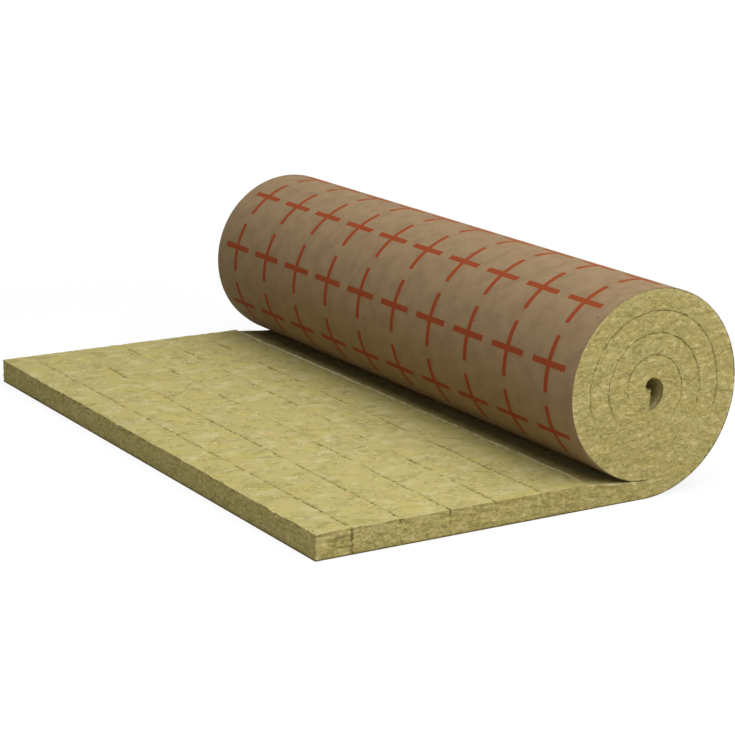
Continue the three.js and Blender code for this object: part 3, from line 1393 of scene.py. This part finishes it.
@dataclass
class WoolPiece:
    """What the pieces of wool share: how points lie in the mat, and how they become an object."""

    section: MatSection
    saw: Saw

    @property
    def shift(self) -> float:
        """How far the piece's pattern is moved along the mat."""
        return 0.0

    def lie_flat(self, points: Array) -> Array:
        """Places of points of the laid-out mat as they lie in the mat unrolled."""
        return points - np.array([self.section.free_end - self.shift, 0, 0])

    def put(self, shell: Shell, points: Array, relief: Array | float = -1.0) -> Array:
        """Adds points of the laid-out mat to the piece's skin and gives their numbers."""
        return shell.add(points, self.lie_flat(points), relief)

    def close_joint(
        self, shell: Shell, joint: Joint, y: Array, edge: Array, caps: Iterable[Array]
    ) -> Array:
        """Adds the side that lies against a joint to the skin.

        Args:
            shell: The piece's skin.
            joint: The joint.
            y: Places along it, the ends left out.
            edge: Point numbers of the top's edge there.
            caps: Point numbers of the two sawn ends' edges there, from the top down.

        Returns:
            Point numbers of the side's foot.
        """
        near, far = caps
        floor = np.full_like(y, self.section.wool_inset)
        foot = self.put(shell, np.stack([joint.line(y, floor), y, floor], axis=-1))
        chain = np.concatenate([near[-1:], foot, far[-1:]])
        shell.wall(edge, chain, near[1:-1], far[1:-1])
        return chain

    def hand_over(
        self, shell: Shell, name: str, wool: bpy.types.Material, node: str
    ) -> bpy.types.Object:
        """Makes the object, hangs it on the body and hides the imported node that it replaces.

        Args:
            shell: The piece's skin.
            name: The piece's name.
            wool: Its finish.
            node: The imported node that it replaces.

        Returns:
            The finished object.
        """
        piece = shell.finished(name, wool)
        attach(piece, BODY)
        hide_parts(node)
        return piece


@dataclass
class LaidStrip(WoolPiece):
    """One strip of wool in the laid-out part of the mat."""

    name: str
    left: Joint | None
    right: Joint
    layering: float
    ridge: Ridge | None = None
    pattern_step: float = 0.37
    end_wear: float = 0.5
    # Painted shade in the joints' cracks, on the top and on the sawn ends.
    crack_shade: float = 1.9
    end_crack_shade: float = 3.0
    cell: float = 2.0 * MM
    fine_cell: float = 1.6 * MM
    edge_steps: tuple[float, ...] = (0.7 * MM, 1.6 * MM, 3.0 * MM)

    @property
    def shift(self) -> float:
        """How far the strip's pattern is moved along the mat, so that no two strips match."""
        return self.pattern_step * self.right.number

    def sides_at(self, y: Array, z: Array, opening: Any) -> tuple[Array, Array]:
        """X of the strip's two sides.

        Args:
            y: Places along the strip.
            z: Heights.
            opening: Gives how far a joint gapes at these places.

        Returns:
            X of the left side and of the right side.
        """
        left = np.full(y.shape, self.section.free_end)
        if self.left is not None:
            left = self.left.line(y, z) + self.left.width * opening(self.left)
        return left, self.right.line(y, z) - self.right.width * opening(self.right)

    def joint_effect(self, x: Array, y: Array, z: Array, opening: Any) -> Array:
        """How near a point is to a gaping joint, from 0 to 1, the nearer joint of the two.

        Args:
            x: Places across the strip.
            y: Places along it.
            z: Heights.
            opening: Gives how far a joint gapes at these places.

        Returns:
            One value for each point.
        """
        effect = np.zeros(x.shape)
        for joint in (self.left, self.right):
            if joint is not None:
                near = bell(x - joint.line(y, z), joint.rounding)
                effect = np.maximum(effect, near * opening(joint))
        return effect

    def top_grid(self, shares: Array, y: Array) -> tuple[Array, Array]:
        """Points of the strip's top.

        Args:
            shares: Places across the strip, from 0 to 1.
            y: Places along it.

        Returns:
            The points, in a grid, and their relief.
        """
        top = self.section.thickness
        left, right = self.sides_at(y, np.full_like(y, top), lambda joint: joint.open_top(y))
        x = left + (right - left) * shares[:, None]
        ys = np.broadcast_to(y, x.shape)
        lift, relief = self.saw.top(x + self.shift, ys)
        sunk = self.joint_effect(x, ys, np.full_like(x, top), lambda joint: joint.open_top(ys))
        from_end = self.section.half_width - np.abs(ys)
        end_value = np.sign(ys).astype(int)
        worn = self.end_wear * self.saw.worn.at(x, from_end, Field.WORN_ENDS + end_value)
        z = top + lift - self.right.sink * sunk - worn
        # The fringe along the ends, and along the free end below, is partly painted highlight.
        relief = relief + self.saw.fluff_and_highlight(x + self.shift, from_end, Field.ENDS + end_value)
        if self.left is None:
            from_free_end = x - self.section.free_end
            z = z - self.saw.worn.at(ys, from_free_end, Field.WORN_FREE_END)
            relief = relief + self.saw.fluff_and_highlight(ys, from_free_end, Field.FREE_END)
        if self.ridge is not None:
            rise, pale = self.ridge.rise(right - x, ys)
            z = z + rise
            relief = relief + pale
        # The joints' cracks get painted shade.
        return np.stack([x, ys, z], axis=-1), relief - self.crack_shade * sunk

    def cap_grid(self, shares: Array, below: Array, end: End) -> tuple[Array, Array]:
        """Points of one sawn end.

        Args:
            shares: Places across the strip, from 0 to 1.
            below: Distances below the mat's top.
            end: Which end it is.

        Returns:
            The points, in a grid, and their relief.
        """
        z = self.section.thickness - below
        y = np.full_like(z, end.value * self.section.half_width)
        left, right = self.sides_at(y, z, lambda joint: joint.open_end(z, end))
        x = left + (right - left) * shares[:, None]
        ys, zs = np.full_like(x, y[0]), np.broadcast_to(z, x.shape)
        up = zs - self.section.wool_inset
        out, relief = self.saw.side(x + self.shift, up, below, Field.ENDS + end.value)
        sunk = self.joint_effect(x, ys, zs, lambda joint: joint.open_end(zs, end))
        flush = self.joint_effect(x, ys, zs, lambda joint: 1.0)
        out = out - flush * (out + self.saw.setback) - self.right.end_sink * sunk
        seed = Field.LAYERS * self.right.number + end.value
        # Painted shade in the joints' cracks.
        relief = relief + self.layering * self.saw.layers(x, zs, seed) - self.end_crack_shade * sunk
        zs = zs - self.end_wear * self.saw.worn.at(x, below, Field.WORN_ENDS + end.value)
        return np.stack([x, y + end.value * out, zs], axis=-1), relief

    def free_end_x(self, y: Array, below: Array) -> tuple[Array, Array]:
        """Finds the points of the mat's free end.

        Args:
            y: Places along it.
            below: Distances below the mat's top.

        Returns:
            X of the points, in rows from the top down, and their relief.
        """
        ys, belows = np.broadcast_arrays(y, below[:, None])
        up = self.section.thickness - self.section.wool_inset - belows
        out, relief = self.saw.side(ys, up, belows, Field.FREE_END)
        return self.section.free_end - out, relief

    def close_end(self, shell: Shell, edge: Array, points: Array, relief: Array) -> Array:
        """Adds one sawn end to the skin.

        Args:
            shell: The strip's skin.
            edge: Point numbers of the top's edge there.
            points: The end's points, the edge included.
            relief: Their relief.

        Returns:
            The end's point numbers.
        """
        cap = np.concatenate([edge[:, None], self.put(shell, points[:, 1:], relief[:, 1:])], axis=1)
        shell.grid(cap)
        return cap

    def close_free_end(
        self,
        shell: Shell,
        points: tuple[Array, ...],
        relief: Array,
        edge: Array,
        caps: Iterable[Array],
    ) -> Array:
        """Adds the mat's free end to the skin.

        Args:
            shell: The strip's skin.
            points: X of the face's points, their Y, and their distances below the top.
            relief: Their relief.
            edge: Point numbers of the top's edge there.
            caps: Point numbers of the two sawn ends' edges there.

        Returns:
            Point numbers of the face's foot.
        """
        near, far = caps
        x, y, below = points
        ys, depth = np.broadcast_arrays(y, below[:, None])
        zs = self.section.thickness - depth - self.saw.worn.at(ys, depth, Field.WORN_FREE_END)
        inner = self.put(shell, np.stack([x, ys, zs], axis=-1), relief)
        face = np.concatenate([near[1:, None], inner, far[1:, None]], axis=1)
        shell.grid(np.concatenate([edge[None], face], axis=0))
        return face[-1]

    def build(self, wool: bpy.types.Material) -> bpy.types.Object:
        """Makes the strip: its top, its sawn ends, its sides and its glued face.

        Args:
            wool: Its finish.

        Returns:
            The finished object.
        """
        section = self.section
        shell = Shell()
        width = self.right.x - (self.left.x if self.left else section.free_end)
        shares = graded(width, self.cell, self.edge_steps) / width
        y = graded(2 * section.half_width, self.cell, self.edge_steps) - section.half_width
        deep = section.thickness - section.wool_inset
        below = graded(deep, self.fine_cell, self.edge_steps, both=False)

        top, top_relief = self.top_grid(shares, y)
        caps = {end: self.cap_grid(shares, below, end) for end in End}
        for end, (points, _) in caps.items():
            top[:, end.row, 1] = points[:, 0, 1]
        if self.left is None:
            end_x, end_relief = self.free_end_x(y, below)
            top[0, :, 0] = end_x[0]
            for end, (points, _) in caps.items():
                points[0, :, 0] = end_x[:, end.row]

        top_ids = self.put(shell, top, top_relief)
        shell.grid(top_ids)
        near, far = (self.close_end(shell, top_ids[:, end.row], *cap) for end, cap in caps.items())
        inner_y = y[1:-1]
        right_foot = self.close_joint(shell, self.right, inner_y, top_ids[-1], (near[-1], far[-1]))
        edge, corners = top_ids[0], (near[0], far[0])
        if self.left is None:
            points = end_x[1:, 1:-1], inner_y, below[1:]
            left_foot = self.close_free_end(shell, points, end_relief[1:, 1:-1], edge, corners)
        else:
            left_foot = self.close_joint(shell, self.left, inner_y, edge, corners)
        shell.wall(left_foot, right_foot, near[1:-1, -1], far[1:-1, -1])
        return self.hand_over(shell, self.name + "_wool", wool, self.name)


@dataclass(frozen=True)
class Partings:
    """The partings between the turns, as they gape at the roll's ends.

    They gape on the roll's upper half down to a ragged height, and in dashes a little below it. The
    innermost is felted shut further up on its left side. Angles are in radians.
    """

    section: MatSection
    open_above: Span = (-48 * MM, -14 * MM)
    ragged: Waves = ((12 * MM, 0.11), (6 * MM, 0.035))
    gape: float = 0.57
    gape_waves: Waves = ((0.35, 0.12),)
    dash_gape: float = 0.45
    dash_waves: Waves = ((1.0, 0.07),)
    dash_span: Span = (0.25, 0.5)
    dashes_above: Span = (-95 * MM, -60 * MM)
    felted_turn: float = 3.0
    felted_angles: Span = (-0.5, 0.2)
    felted_side: Span = (-35 * MM, 5 * MM)
    felted_rise: float = 34 * MM
    nip_angles: Span = (-0.08, 0.02)

    def at(self, angle: Array) -> Array:
        """How far the parting outside a turn gapes.

        Args:
            angle: Angles of the turn past the roll's foot.

        Returns:
            From 0 for felted shut to 1, for each angle.
        """
        height = -self.section.radius_at(angle) * np.cos(angle)
        rightward = self.section.radius_at(angle) * np.sin(angle)
        felted = ease(angle - self.felted_turn * TURN, *self.felted_angles)
        felted = felted * (1 - ease(rightward, *self.felted_side))
        ragged = wavy(angle, self.ragged, Field.RAGGED) - self.felted_rise * felted
        gape = self.gape + wavy(angle, self.gape_waves, Field.GAPING)
        above = ease(height + ragged, *self.open_above) * gape
        dashes = self.dash_gape * ease(wavy(angle, self.dash_waves, Field.DASHES), *self.dash_span)
        dashes = dashes * ease(height, *self.dashes_above)
        nip = 1 - ease(angle - TURN, *self.nip_angles)
        return np.where(angle < TURN, nip, np.maximum(above, dashes))

    def beside(self, angle: Array) -> tuple[Array, Array]:
        """How far the partings on the two sides of the band gape.

        Args:
            angle: Angles of the band past the roll's foot.

        Returns:
            From 0 to 1, on its glued side and on its other side.
        """
        section = self.section
        low = np.where(angle >= section.nip_angle(), self.at(angle), 0.0)
        return low, np.where(section.covered(angle), self.at(angle + TURN), 0.0)


@dataclass
class WoundWool(WoolPiece):
    """The wool from the last flat joint on: it runs in under the roll and winds up inside it."""

    joint: Joint
    cell: float = 1.7 * MM
    across_cell: float = 2.0 * MM
    edge_steps: tuple[float, ...] = (0.7 * MM, 1.7 * MM, 3.2 * MM)
    least_radius: float = 12 * MM
    play: float = 0.2 * MM
    inner_places: Span = (4 * MM, 9 * MM)
    inner_relief: float = -0.3
    tuck: float = 4 * MM
    skin_angle: float = 0.3
    skin_points: int = 60

    pillow: float = 0.6 * MM
    rounding: float = 1.1 * MM
    seam_gape: float = 0.05 * MM
    seam_start: float = 0.2
    strays: Waves = ((0.9 * MM, 13 * MM),)
    free_gape: float = 0.4
    bore_bulge: float = 1.5 * MM
    rim_reach: float = 30 * MM
    rim_relief_reach: float = 12 * MM
    glue_reach: float = 4 * MM
    glue_angles: Span = (0.9, 5.2)
    # Painted shade in the partings and in the last joint's crack; the glue line is paler.
    parting_shade: float = 1.3
    crack_shade: float = 1.6
    glue_shade: float = 0.9

    dip_span: Span = (4 * MM, 20 * MM)
    joint_reach: float = 12 * MM
    clear_span: Span = (-45 * MM, -25 * MM)

    def stations(self) -> tuple[Array, Array]:
        """Places along the band at which its section is drawn.

        Returns:
            The lengths on the floor from the last joint, and the angles past the foot.
        """
        section = self.section
        run = section.foot - section.last_joint
        flat = graded(run, self.cell, self.edge_steps, both=False)
        end = section.turns * TURN
        angles = [0.0]
        while angles[-1] < end:
            middle = float(section.radius_at(angles[-1])) - section.pitch / 2
            angles.append(angles[-1] + self.cell / max(middle, self.least_radius))
        wound = np.array(angles[1:]) * end / angles[-1]
        lengths = np.concatenate([flat, np.full(len(wound), run)])
        return lengths, np.concatenate([np.zeros(len(flat)), wound])

    def section_grid(
        self, along: Array, angle: Array, shares: Array, reach: tuple[Array, Array]
    ) -> tuple[Array, Array, Array]:
        """X and Z of the band's section, from its glued side to its other side.

        Args:
            along: Lengths on the floor from the last joint.
            angle: Angles past the roll's foot.
            shares: Places through the band, from 0 to 1.
            reach: How far the glued side and the other side reach into the partings beside them.

        Returns:
            X, Z and the height above the facing, with a row for each station.
        """
        section = self.section
        x_flat = section.last_joint + along
        low = section.wool_inset - reach[0]
        thick = section.thickness_at(angle) - self.play + self.bore_bulge * section.innermost(angle)
        high = np.where(angle > 0, thick, self.run_in_top(x_flat)) + reach[1]
        inset = low[:, None] + (high - low)[:, None] * shares
        x_wound, z_wound = section.wound(angle[:, None], inset)
        flat = (angle <= 0)[:, None]
        return np.where(flat, x_flat[:, None], x_wound), np.where(flat, inset, z_wound), inset

    def run_in_top(self, x: Array) -> Array:
        """Finds the wool's top where it runs in under the roll, below the facing that rests on it.

        Args:
            x: Places along the mat.

        Returns:
            Its height at each.
        """
        section = self.section
        skin = np.linspace(section.nip_angle() - self.skin_angle, TURN, self.skin_points)
        x_skin, z_skin = section.wound(skin, 0.0)
        return np.minimum(section.wool_top(x), np.interp(x, x_skin, z_skin) - self.play)

    def past_joint(self, x: Array) -> Array:
        """Rises from 0 at the last joint to 1 a little past it, where the top dips."""
        return ease(x - self.section.last_joint, *self.dip_span)

    def lie(self, along: Array, angle: Array) -> Array:
        """Finds how far the band's stations are from the free end.

        Args:
            along: Lengths on the floor from the last joint.
            angle: Angles past the roll's foot.

        Returns:
            The lengths.
        """
        section = self.section
        flat = section.last_joint - section.free_end + along
        return np.where(angle > 0, section.length_at(angle, section.pitch / 2), flat)

    def reaches(self, angle: Array, gapes: tuple[Array, Array]) -> tuple[Array, Array]:
        """How far the band's two sides reach into the partings beside them at the roll's ends.

        Args:
            angle: Angles past the roll's foot.
            gapes: How far the partings on the glued side and on the other side gape.

        Returns:
            The two distances.
        """
        section = self.section
        half = section.facing / 2
        fills = section.wool_inset - half, self.play + half
        closed = (fill * (1 - gape) - self.seam_gape * gape for fill, gape in zip(fills, gapes))
        lengths = (section.length_at(angle + on) for on in (0, TURN))
        strays = (wavy(length, self.strays, Field.STRAYS) for length in lengths)
        (low, high), (low_stray, high_stray) = closed, strays
        wound = angle >= section.nip_angle() + self.seam_start
        low = np.where(wound, low + low_stray, 0.0)
        return low, np.where(section.covered(angle), high - high_stray, 0.0)

    def end_grid(self, along: Array, angle: Array, shares: Array, end: End) -> tuple[Array, Array]:
        """Points of one of the roll's ends.

        Args:
            along: Lengths on the floor from the last joint.
            angle: Angles past the roll's foot.
            shares: Places through the band, from 0 to 1.
            end: Which end it is.

        Returns:
            The points, in a grid, and their relief.
        """
        section = self.section
        gapes = Partings(section).beside(angle)
        x, z, up = self.section_grid(along, angle, shares, self.reaches(angle, gapes))
        above, below = up - up[:, :1], up[:, -1:] - up
        seed = Field.ENDS + end.value
        out, relief = self.saw.end(x, z - section.wool_inset, seed)
        rim, rim_relief = self.saw.side(x, up, below, seed)
        # The run-in's rim is paled partly as painted highlight.
        rim_relief = rim_relief + self.saw.frayed_and_highlight.at(x, below, Field.FRAYED_AND_HIGHLIGHT) * self.past_joint(x)
        flat = (angle <= 0)[:, None]
        relief = np.where(flat & (x < section.foot - self.rim_relief_reach), rim_relief, relief)
        out = np.where(flat & (x < section.foot - self.rim_reach), rim, out - self.saw.setback)

        low, high = gapes[0], np.where(section.innermost(angle), self.free_gape, gapes[1])
        sunk = np.maximum(
            bell(above, self.rounding) * low[:, None], bell(below, self.rounding) * high[:, None]
        )
        first, last = self.glue_angles
        glued = bell(above, self.glue_reach) * ((angle > first) & (angle < last))[:, None]
        y = end.value * section.half_width
        crack = bell(x - self.joint.line(0 * x + y, z), self.joint.rounding)
        crack = crack * self.joint.open_end(z, end) * flat
        out = out - self.pillow * sunk - self.joint.end_sink * crack
        # Painted shade in the partings and the crack.
        relief = relief - self.parting_shade * sunk - self.crack_shade * crack
        relief = relief + self.glue_shade * glued
        return np.stack([x, y + end.value * out, z], axis=-1), relief

    def run_in_grid(self, x: Array, y: Array) -> tuple[Array, Array]:
        """Points of the top that runs in under the roll.

        Args:
            x: Places along the mat.
            y: Places across it.

        Returns:
            The points, in a grid, and their relief.
        """
        section = self.section
        xs, ys = (grid.copy() for grid in np.broadcast_arrays(x[:, None], y))
        lift, relief = self.saw.top(xs, ys)
        top = np.full_like(y, section.thickness)
        edge = self.joint.line(y, top) + self.joint.width * self.joint.open_top(y)
        pull = 1 - ease(xs - section.last_joint, 0, self.joint_reach)
        xs = xs + (edge - section.last_joint) * pull
        clear = 1 - ease(xs - section.foot, *self.clear_span)
        z = self.run_in_top(x)[:, None] + lift * clear
        # The run-in's edges are paled partly as painted highlight.
        frayed_and_highlight = self.saw.frayed_and_highlight.at(xs, section.half_width - np.abs(ys), Field.FRAYED_AND_HIGHLIGHT)
        return np.stack([xs, ys, z], axis=-1), relief + frayed_and_highlight * self.past_joint(xs)

    def inner_y(self) -> Array:
        """Places the few points that the faces inside the roll have across the mat.

        Returns:
            Their Y.
        """
        half = self.section.half_width
        steps = np.array(self.inner_places)
        return np.concatenate([steps - half, [0.0], half - steps[::-1]])

    def put_inner(self, shell: Shell, x: Array, z: Array, length: Array, up: Array) -> Array:
        """Adds points between the roll's ends to the skin.

        Args:
            shell: The wound wool's skin.
            x: X of each row of points.
            z: Z of each row.
            length: Length of each row from the mat's free end.
            up: Height of each row above the facing.

        Returns:
            The points' numbers.
        """
        across = self.inner_y()
        points = np.stack(np.broadcast_arrays(x[:, None], across, z[:, None]), axis=-1)
        lie = np.stack(np.broadcast_arrays(length[:, None], across, up[:, None]), axis=-1)
        return shell.add(points, lie, self.inner_relief)

    def build(self, wool: bpy.types.Material) -> bpy.types.Object:
        """Makes the wound wool: its ends, the top that shows, and its faces inside the roll.

        Args:
            wool: Its finish.

        Returns:
            The finished object.
        """
        section = self.section
        shell = Shell()
        along, angle = self.stations()
        shares = graded(section.pitch, self.cell, self.edge_steps) / section.pitch
        nip_x = section.wound(np.array(section.nip_angle()), 0.0)[0]
        flat_x = section.last_joint + along[angle <= 0]
        hidden = int(np.searchsorted(flat_x, nip_x + self.tuck)) + 1

        y = graded(2 * section.half_width, self.across_cell, self.edge_steps[:2])
        y = y - section.half_width
        top, top_relief = self.run_in_grid(flat_x[:hidden], y)
        ends = []
        for end in End:
            points, relief = self.end_grid(along, angle, shares, end)
            lie = self.lie_flat(points)
            top[:, end.row, 1] = points[:hidden, -1, 1]
            points[:hidden, -1, 0] = top[:, end.row, 0]
            points[:hidden, -1, 2] = top[:, end.row, 2]
            ends.append(shell.add(points, lie, relief))
            shell.grid(ends[-1])
        near, far = ends
        middle = self.put(shell, top[:, 1:-1], top_relief[:, 1:-1])
        top_ids = np.concatenate([near[:hidden, -1:], middle, far[:hidden, -1:]], axis=1)
        shell.grid(top_ids)

        x, z, up = self.section_grid(along, angle, np.array([0.0, 1.0]), (0 * angle, 0 * angle))
        lengths = self.lie(along, angle)
        sheets = []
        for side, first in ((0, 1), (1, hidden)):
            rows = slice(first, None)
            inner = self.put_inner(
                shell, x[rows, side], z[rows, side], lengths[rows], up[rows, side]
            )
            rims = (cap[rows, -side][:, None] for cap in ends)
            sheets.append(np.concatenate([next(rims), inner, next(rims)], axis=1))
            shell.grid(sheets[-1])
        outer_ids, inner_ids = sheets

        places = np.array([0, *np.searchsorted(y, self.inner_y()), len(y) - 1])
        shell.fan(top_ids[-1], inner_ids[0], places)
        corners = near[0, ::-1], far[0, ::-1]
        foot_ids = self.close_joint(shell, self.joint, y[1:-1], top_ids[0], corners)
        shell.fan(foot_ids, outer_ids[0], places)
        last = points[-1, 1:-1]
        length = np.full(len(last), lengths[-1])
        cut = self.put_inner(shell, last[:, 0], last[:, 2], length, shares[1:-1] * section.pitch)
        cut_ids = np.concatenate([near[-1, 1:-1, None], cut, far[-1, 1:-1, None]], axis=1)
        shell.grid(np.concatenate([outer_ids[-1:], cut_ids, inner_ids[-1:]], axis=0))
        return self.hand_over(shell, "wound_wool", wool, "wound_mat")


# ---- Studio ------------------------------------------------------------------------------------


@dataclass(frozen=True)
class Lamp:
    """A broad square lamp that faces the mat, with a glow of 1 as bright as lit white paper."""

    name: str
    place: tuple[float, float, float]
    size: float
    glow: float

    def build(self) -> None:
        """Hangs the lamp."""
        lamp = bpy.data.lights.new(self.name, "AREA")
        lamp.size = self.size
        lamp.energy = math.pi * self.size**2 * self.glow
        hung = bpy.data.objects.new(self.name, lamp)
        hung.location = self.place
        hung.rotation_euler = Vector(self.place).to_track_quat("Z", "Y").to_euler()
        bpy.context.scene.collection.objects.link(hung)


@dataclass
class Studio:
    """A plain pale floor, a very broad soft lamp overhead and a smaller one low in front."""

    lamps: tuple[Lamp, ...] = (
        Lamp("overhead_lamp", (0.2, -0.6, 3.0), 4.5, 2.4),
        Lamp("front_lamp", (0.8, -2.6, 0.9), 1.5, 2.15),
        Lamp("left_lamp", (-1.8, -1.8, 0.9), 1.2, 1.3),
    )
    floor_size: float = 40.0
    floor_drop: float = 0.3 * MM
    floor_tone: float = 0.65
    floor_shade: float = 0.14
    floor_glow: float = 0.88
    lit_reach: float = 1.0
    white_reach: float = 3.0

    def shows_background(self, add: Any) -> bpy.types.Node:
        """Tells rays that show the background, straight or in gloss, from those that light.

        Args:
            add: What adds a node to the tree.

        Returns:
            The node that gives 1 for the first kind.
        """
        rays = add("ShaderNodeLightPath").outputs
        seen = add(MATHS, rays["Is Camera Ray"], rays["Is Glossy Ray"], operation="MAXIMUM")
        return add(MATHS, seen, rays["Is Transmission Ray"], operation="MAXIMUM")

    def build_sky(self) -> None:
        """Sets the world: white where it shows, and dark where it would light."""
        world = bpy.data.worlds.new("studio_sky")
        world.use_nodes = True
        bpy.context.scene.world = world
        add = partial(add_node, world.node_tree)
        back = world.node_tree.nodes["Background"]
        back.inputs["Color"].default_value = (1, 1, 1, 1)
        world.node_tree.links.new(self.shows_background(add).outputs[0], back.inputs["Strength"])

    def build_floor(self) -> bpy.types.Object:
        """Makes the floor, which shows white with a faint shadow of the object.

        Returns:
            The floor.
        """
        half = self.floor_size / 2
        corners = [(-half, -half), (half, -half), (half, half), (-half, half)]
        mesh = bpy.data.meshes.new("floor")
        mesh.from_pydata([(x, y, -self.floor_drop) for x, y in corners], [], [(0, 1, 2, 3)])
        material = bpy.data.materials.new("floor_paint")
        material.use_nodes = True
        tree = material.node_tree
        tree.nodes.remove(tree.nodes["Principled BSDF"])
        add = partial(add_node, tree)
        lit = add("ShaderNodeBsdfDiffuse", (*(self.floor_tone,) * 3, 1))
        shaded = add("ShaderNodeBsdfDiffuse", (*(self.floor_shade,) * 3, 1))
        place = add("ShaderNodeNewGeometry").outputs["Position"]
        away = add(VECTOR_MATHS, place, operation="LENGTH").outputs["Value"]
        level = add(RANGE, away, self.lit_reach, self.white_reach, self.floor_glow, 1.0)
        glow = add("ShaderNodeEmission", (1, 1, 1, 1), level)
        shown = add("ShaderNodeAddShader", shaded, glow)
        both = add("ShaderNodeMixShader", self.shows_background(add), lit, shown)
        tree.links.new(both.outputs[0], tree.nodes["Material Output"].inputs["Surface"])
        mesh.materials.append(material)
        floor = in_scene("floor", mesh)
        floor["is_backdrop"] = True
        return floor

    def build(self) -> None:
        """Makes the whole studio."""
        self.build_sky()
        self.build_floor()
        for lamp in self.lamps:
            lamp.build()


@dataclass
class ViewPoint:
    """The camera, low and to the left of the mat's near end."""

    place: tuple[float, float, float] = (-1701.7 * MM, -2837.9 * MM, 958.3 * MM)
    azimuth: float = -31.628
    elevation: float = 14.617
    roll: float = 0.685
    focal_pixels: float = 2285.7
    sensor: float = 36.0
    far_clip: float = 100.0

    def build(self) -> bpy.types.Object:
        """Makes the camera and gives it to the scene.

        Returns:
            The camera.
        """
        turn, rise, tilt = (math.radians(a) for a in (self.azimuth, self.elevation, self.roll))
        level = math.cos(rise)
        back = Vector((math.sin(turn) * level, -math.cos(turn) * level, math.sin(rise)))
        right = Vector((math.cos(turn), math.sin(turn), 0))
        up = back.cross(right)
        tilted_right = math.cos(tilt) * right + math.sin(tilt) * up
        tilted_up = math.cos(tilt) * up - math.sin(tilt) * right
        data = bpy.data.cameras.new("camera")
        data.sensor_width = self.sensor
        data.lens = self.focal_pixels * self.sensor / FRAME_PIXELS
        data.clip_end = self.far_clip
        camera = bpy.data.objects.new("camera", data)
        turned = Matrix((tilted_right, tilted_up, back)).transposed()
        camera.matrix_world = Matrix.Translation(self.place) @ turned.to_4x4()
        bpy.context.scene.collection.objects.link(camera)
        bpy.context.scene.camera = camera
        return camera


# ---- The object --------------------------------------------------------------------------------


@dataclass
class InsulationRoll:
    """The whole mat. Each row of the tables below is one joint, or the strip in front of it."""

    section: MatSection = field(default_factory=MatSection.from_frame)
    shifts: tuple[tuple[float, float], ...] = (
        (1.5 * MM, -5.0 * MM),
        (0.5 * MM, -1.5 * MM),
        (1.0 * MM, 6.0 * MM),
        (-3.0 * MM, 7.0 * MM),
        (-3.5 * MM, 3.0 * MM),
        (0.0, 0.0),
    )
    gapes: tuple[tuple[float, float], ...] = (
        (0.85, 0.75),
        (0.80, 0.42),
        (0.75, 0.40),
        (0.95, 0.15),
        (0.90, 0.20),
        (0.30, 0.05),
    )
    end_gapes: tuple[float, ...] = (0.75, 0.20, 0.22, 0.25, 0.15, 0.05)
    layering: tuple[float, ...] = (1.7, 0.5, 0.9, 0.5, 0.5, 0.3)

    def build(self) -> list[bpy.types.Object]:
        """Makes every piece and gives it its finish.

        Returns:
            The pieces.
        """
        paper = KraftPaper().material()
        wool = StoneWool().material()
        saw = Saw()
        pieces = Facing(self.section).build(paper)
        joints = []
        for k, state in enumerate(zip(self.shifts, self.gapes, self.end_gapes)):
            joints.append(Joint(self.section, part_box(f"lamella_{k + 1}")[1].x, k + 1, *state))
        for k, (joint, layering) in enumerate(zip(joints, self.layering)):
            left = joints[k - 1] if k else None
            ridge = Ridge(self.section) if joint is joints[-1] else None
            strip = LaidStrip(self.section, saw, f"lamella_{k + 1}", left, joint, layering, ridge)
            pieces.append(strip.build(wool))
        pieces.append(WoundWool(self.section, saw, joints[-1]).build(wool))
        return pieces


def write_size() -> None:
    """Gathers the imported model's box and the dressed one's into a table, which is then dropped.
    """
    boxes = {"cad": CAD_BOUNDS, "visual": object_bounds()}
    {key: [list(corner) for corner in box] for key, box in boxes.items()}


def main() -> None:
    """Builds the studio and the object, and reports each piece."""
    logging.basicConfig(level=logging.INFO, format="%(name)s: %(message)s")
    bpy.context.scene.view_settings.view_transform = "Standard"
    ViewPoint().build()
    Studio().build()
    for piece in InsulationRoll().build():
        faces = sum(len(face.vertices) - 2 for face in piece.data.polygons)
        log.info("%s: %d triangles", piece.name, faces)
    write_size()


if __name__ == "__main__":
    main()
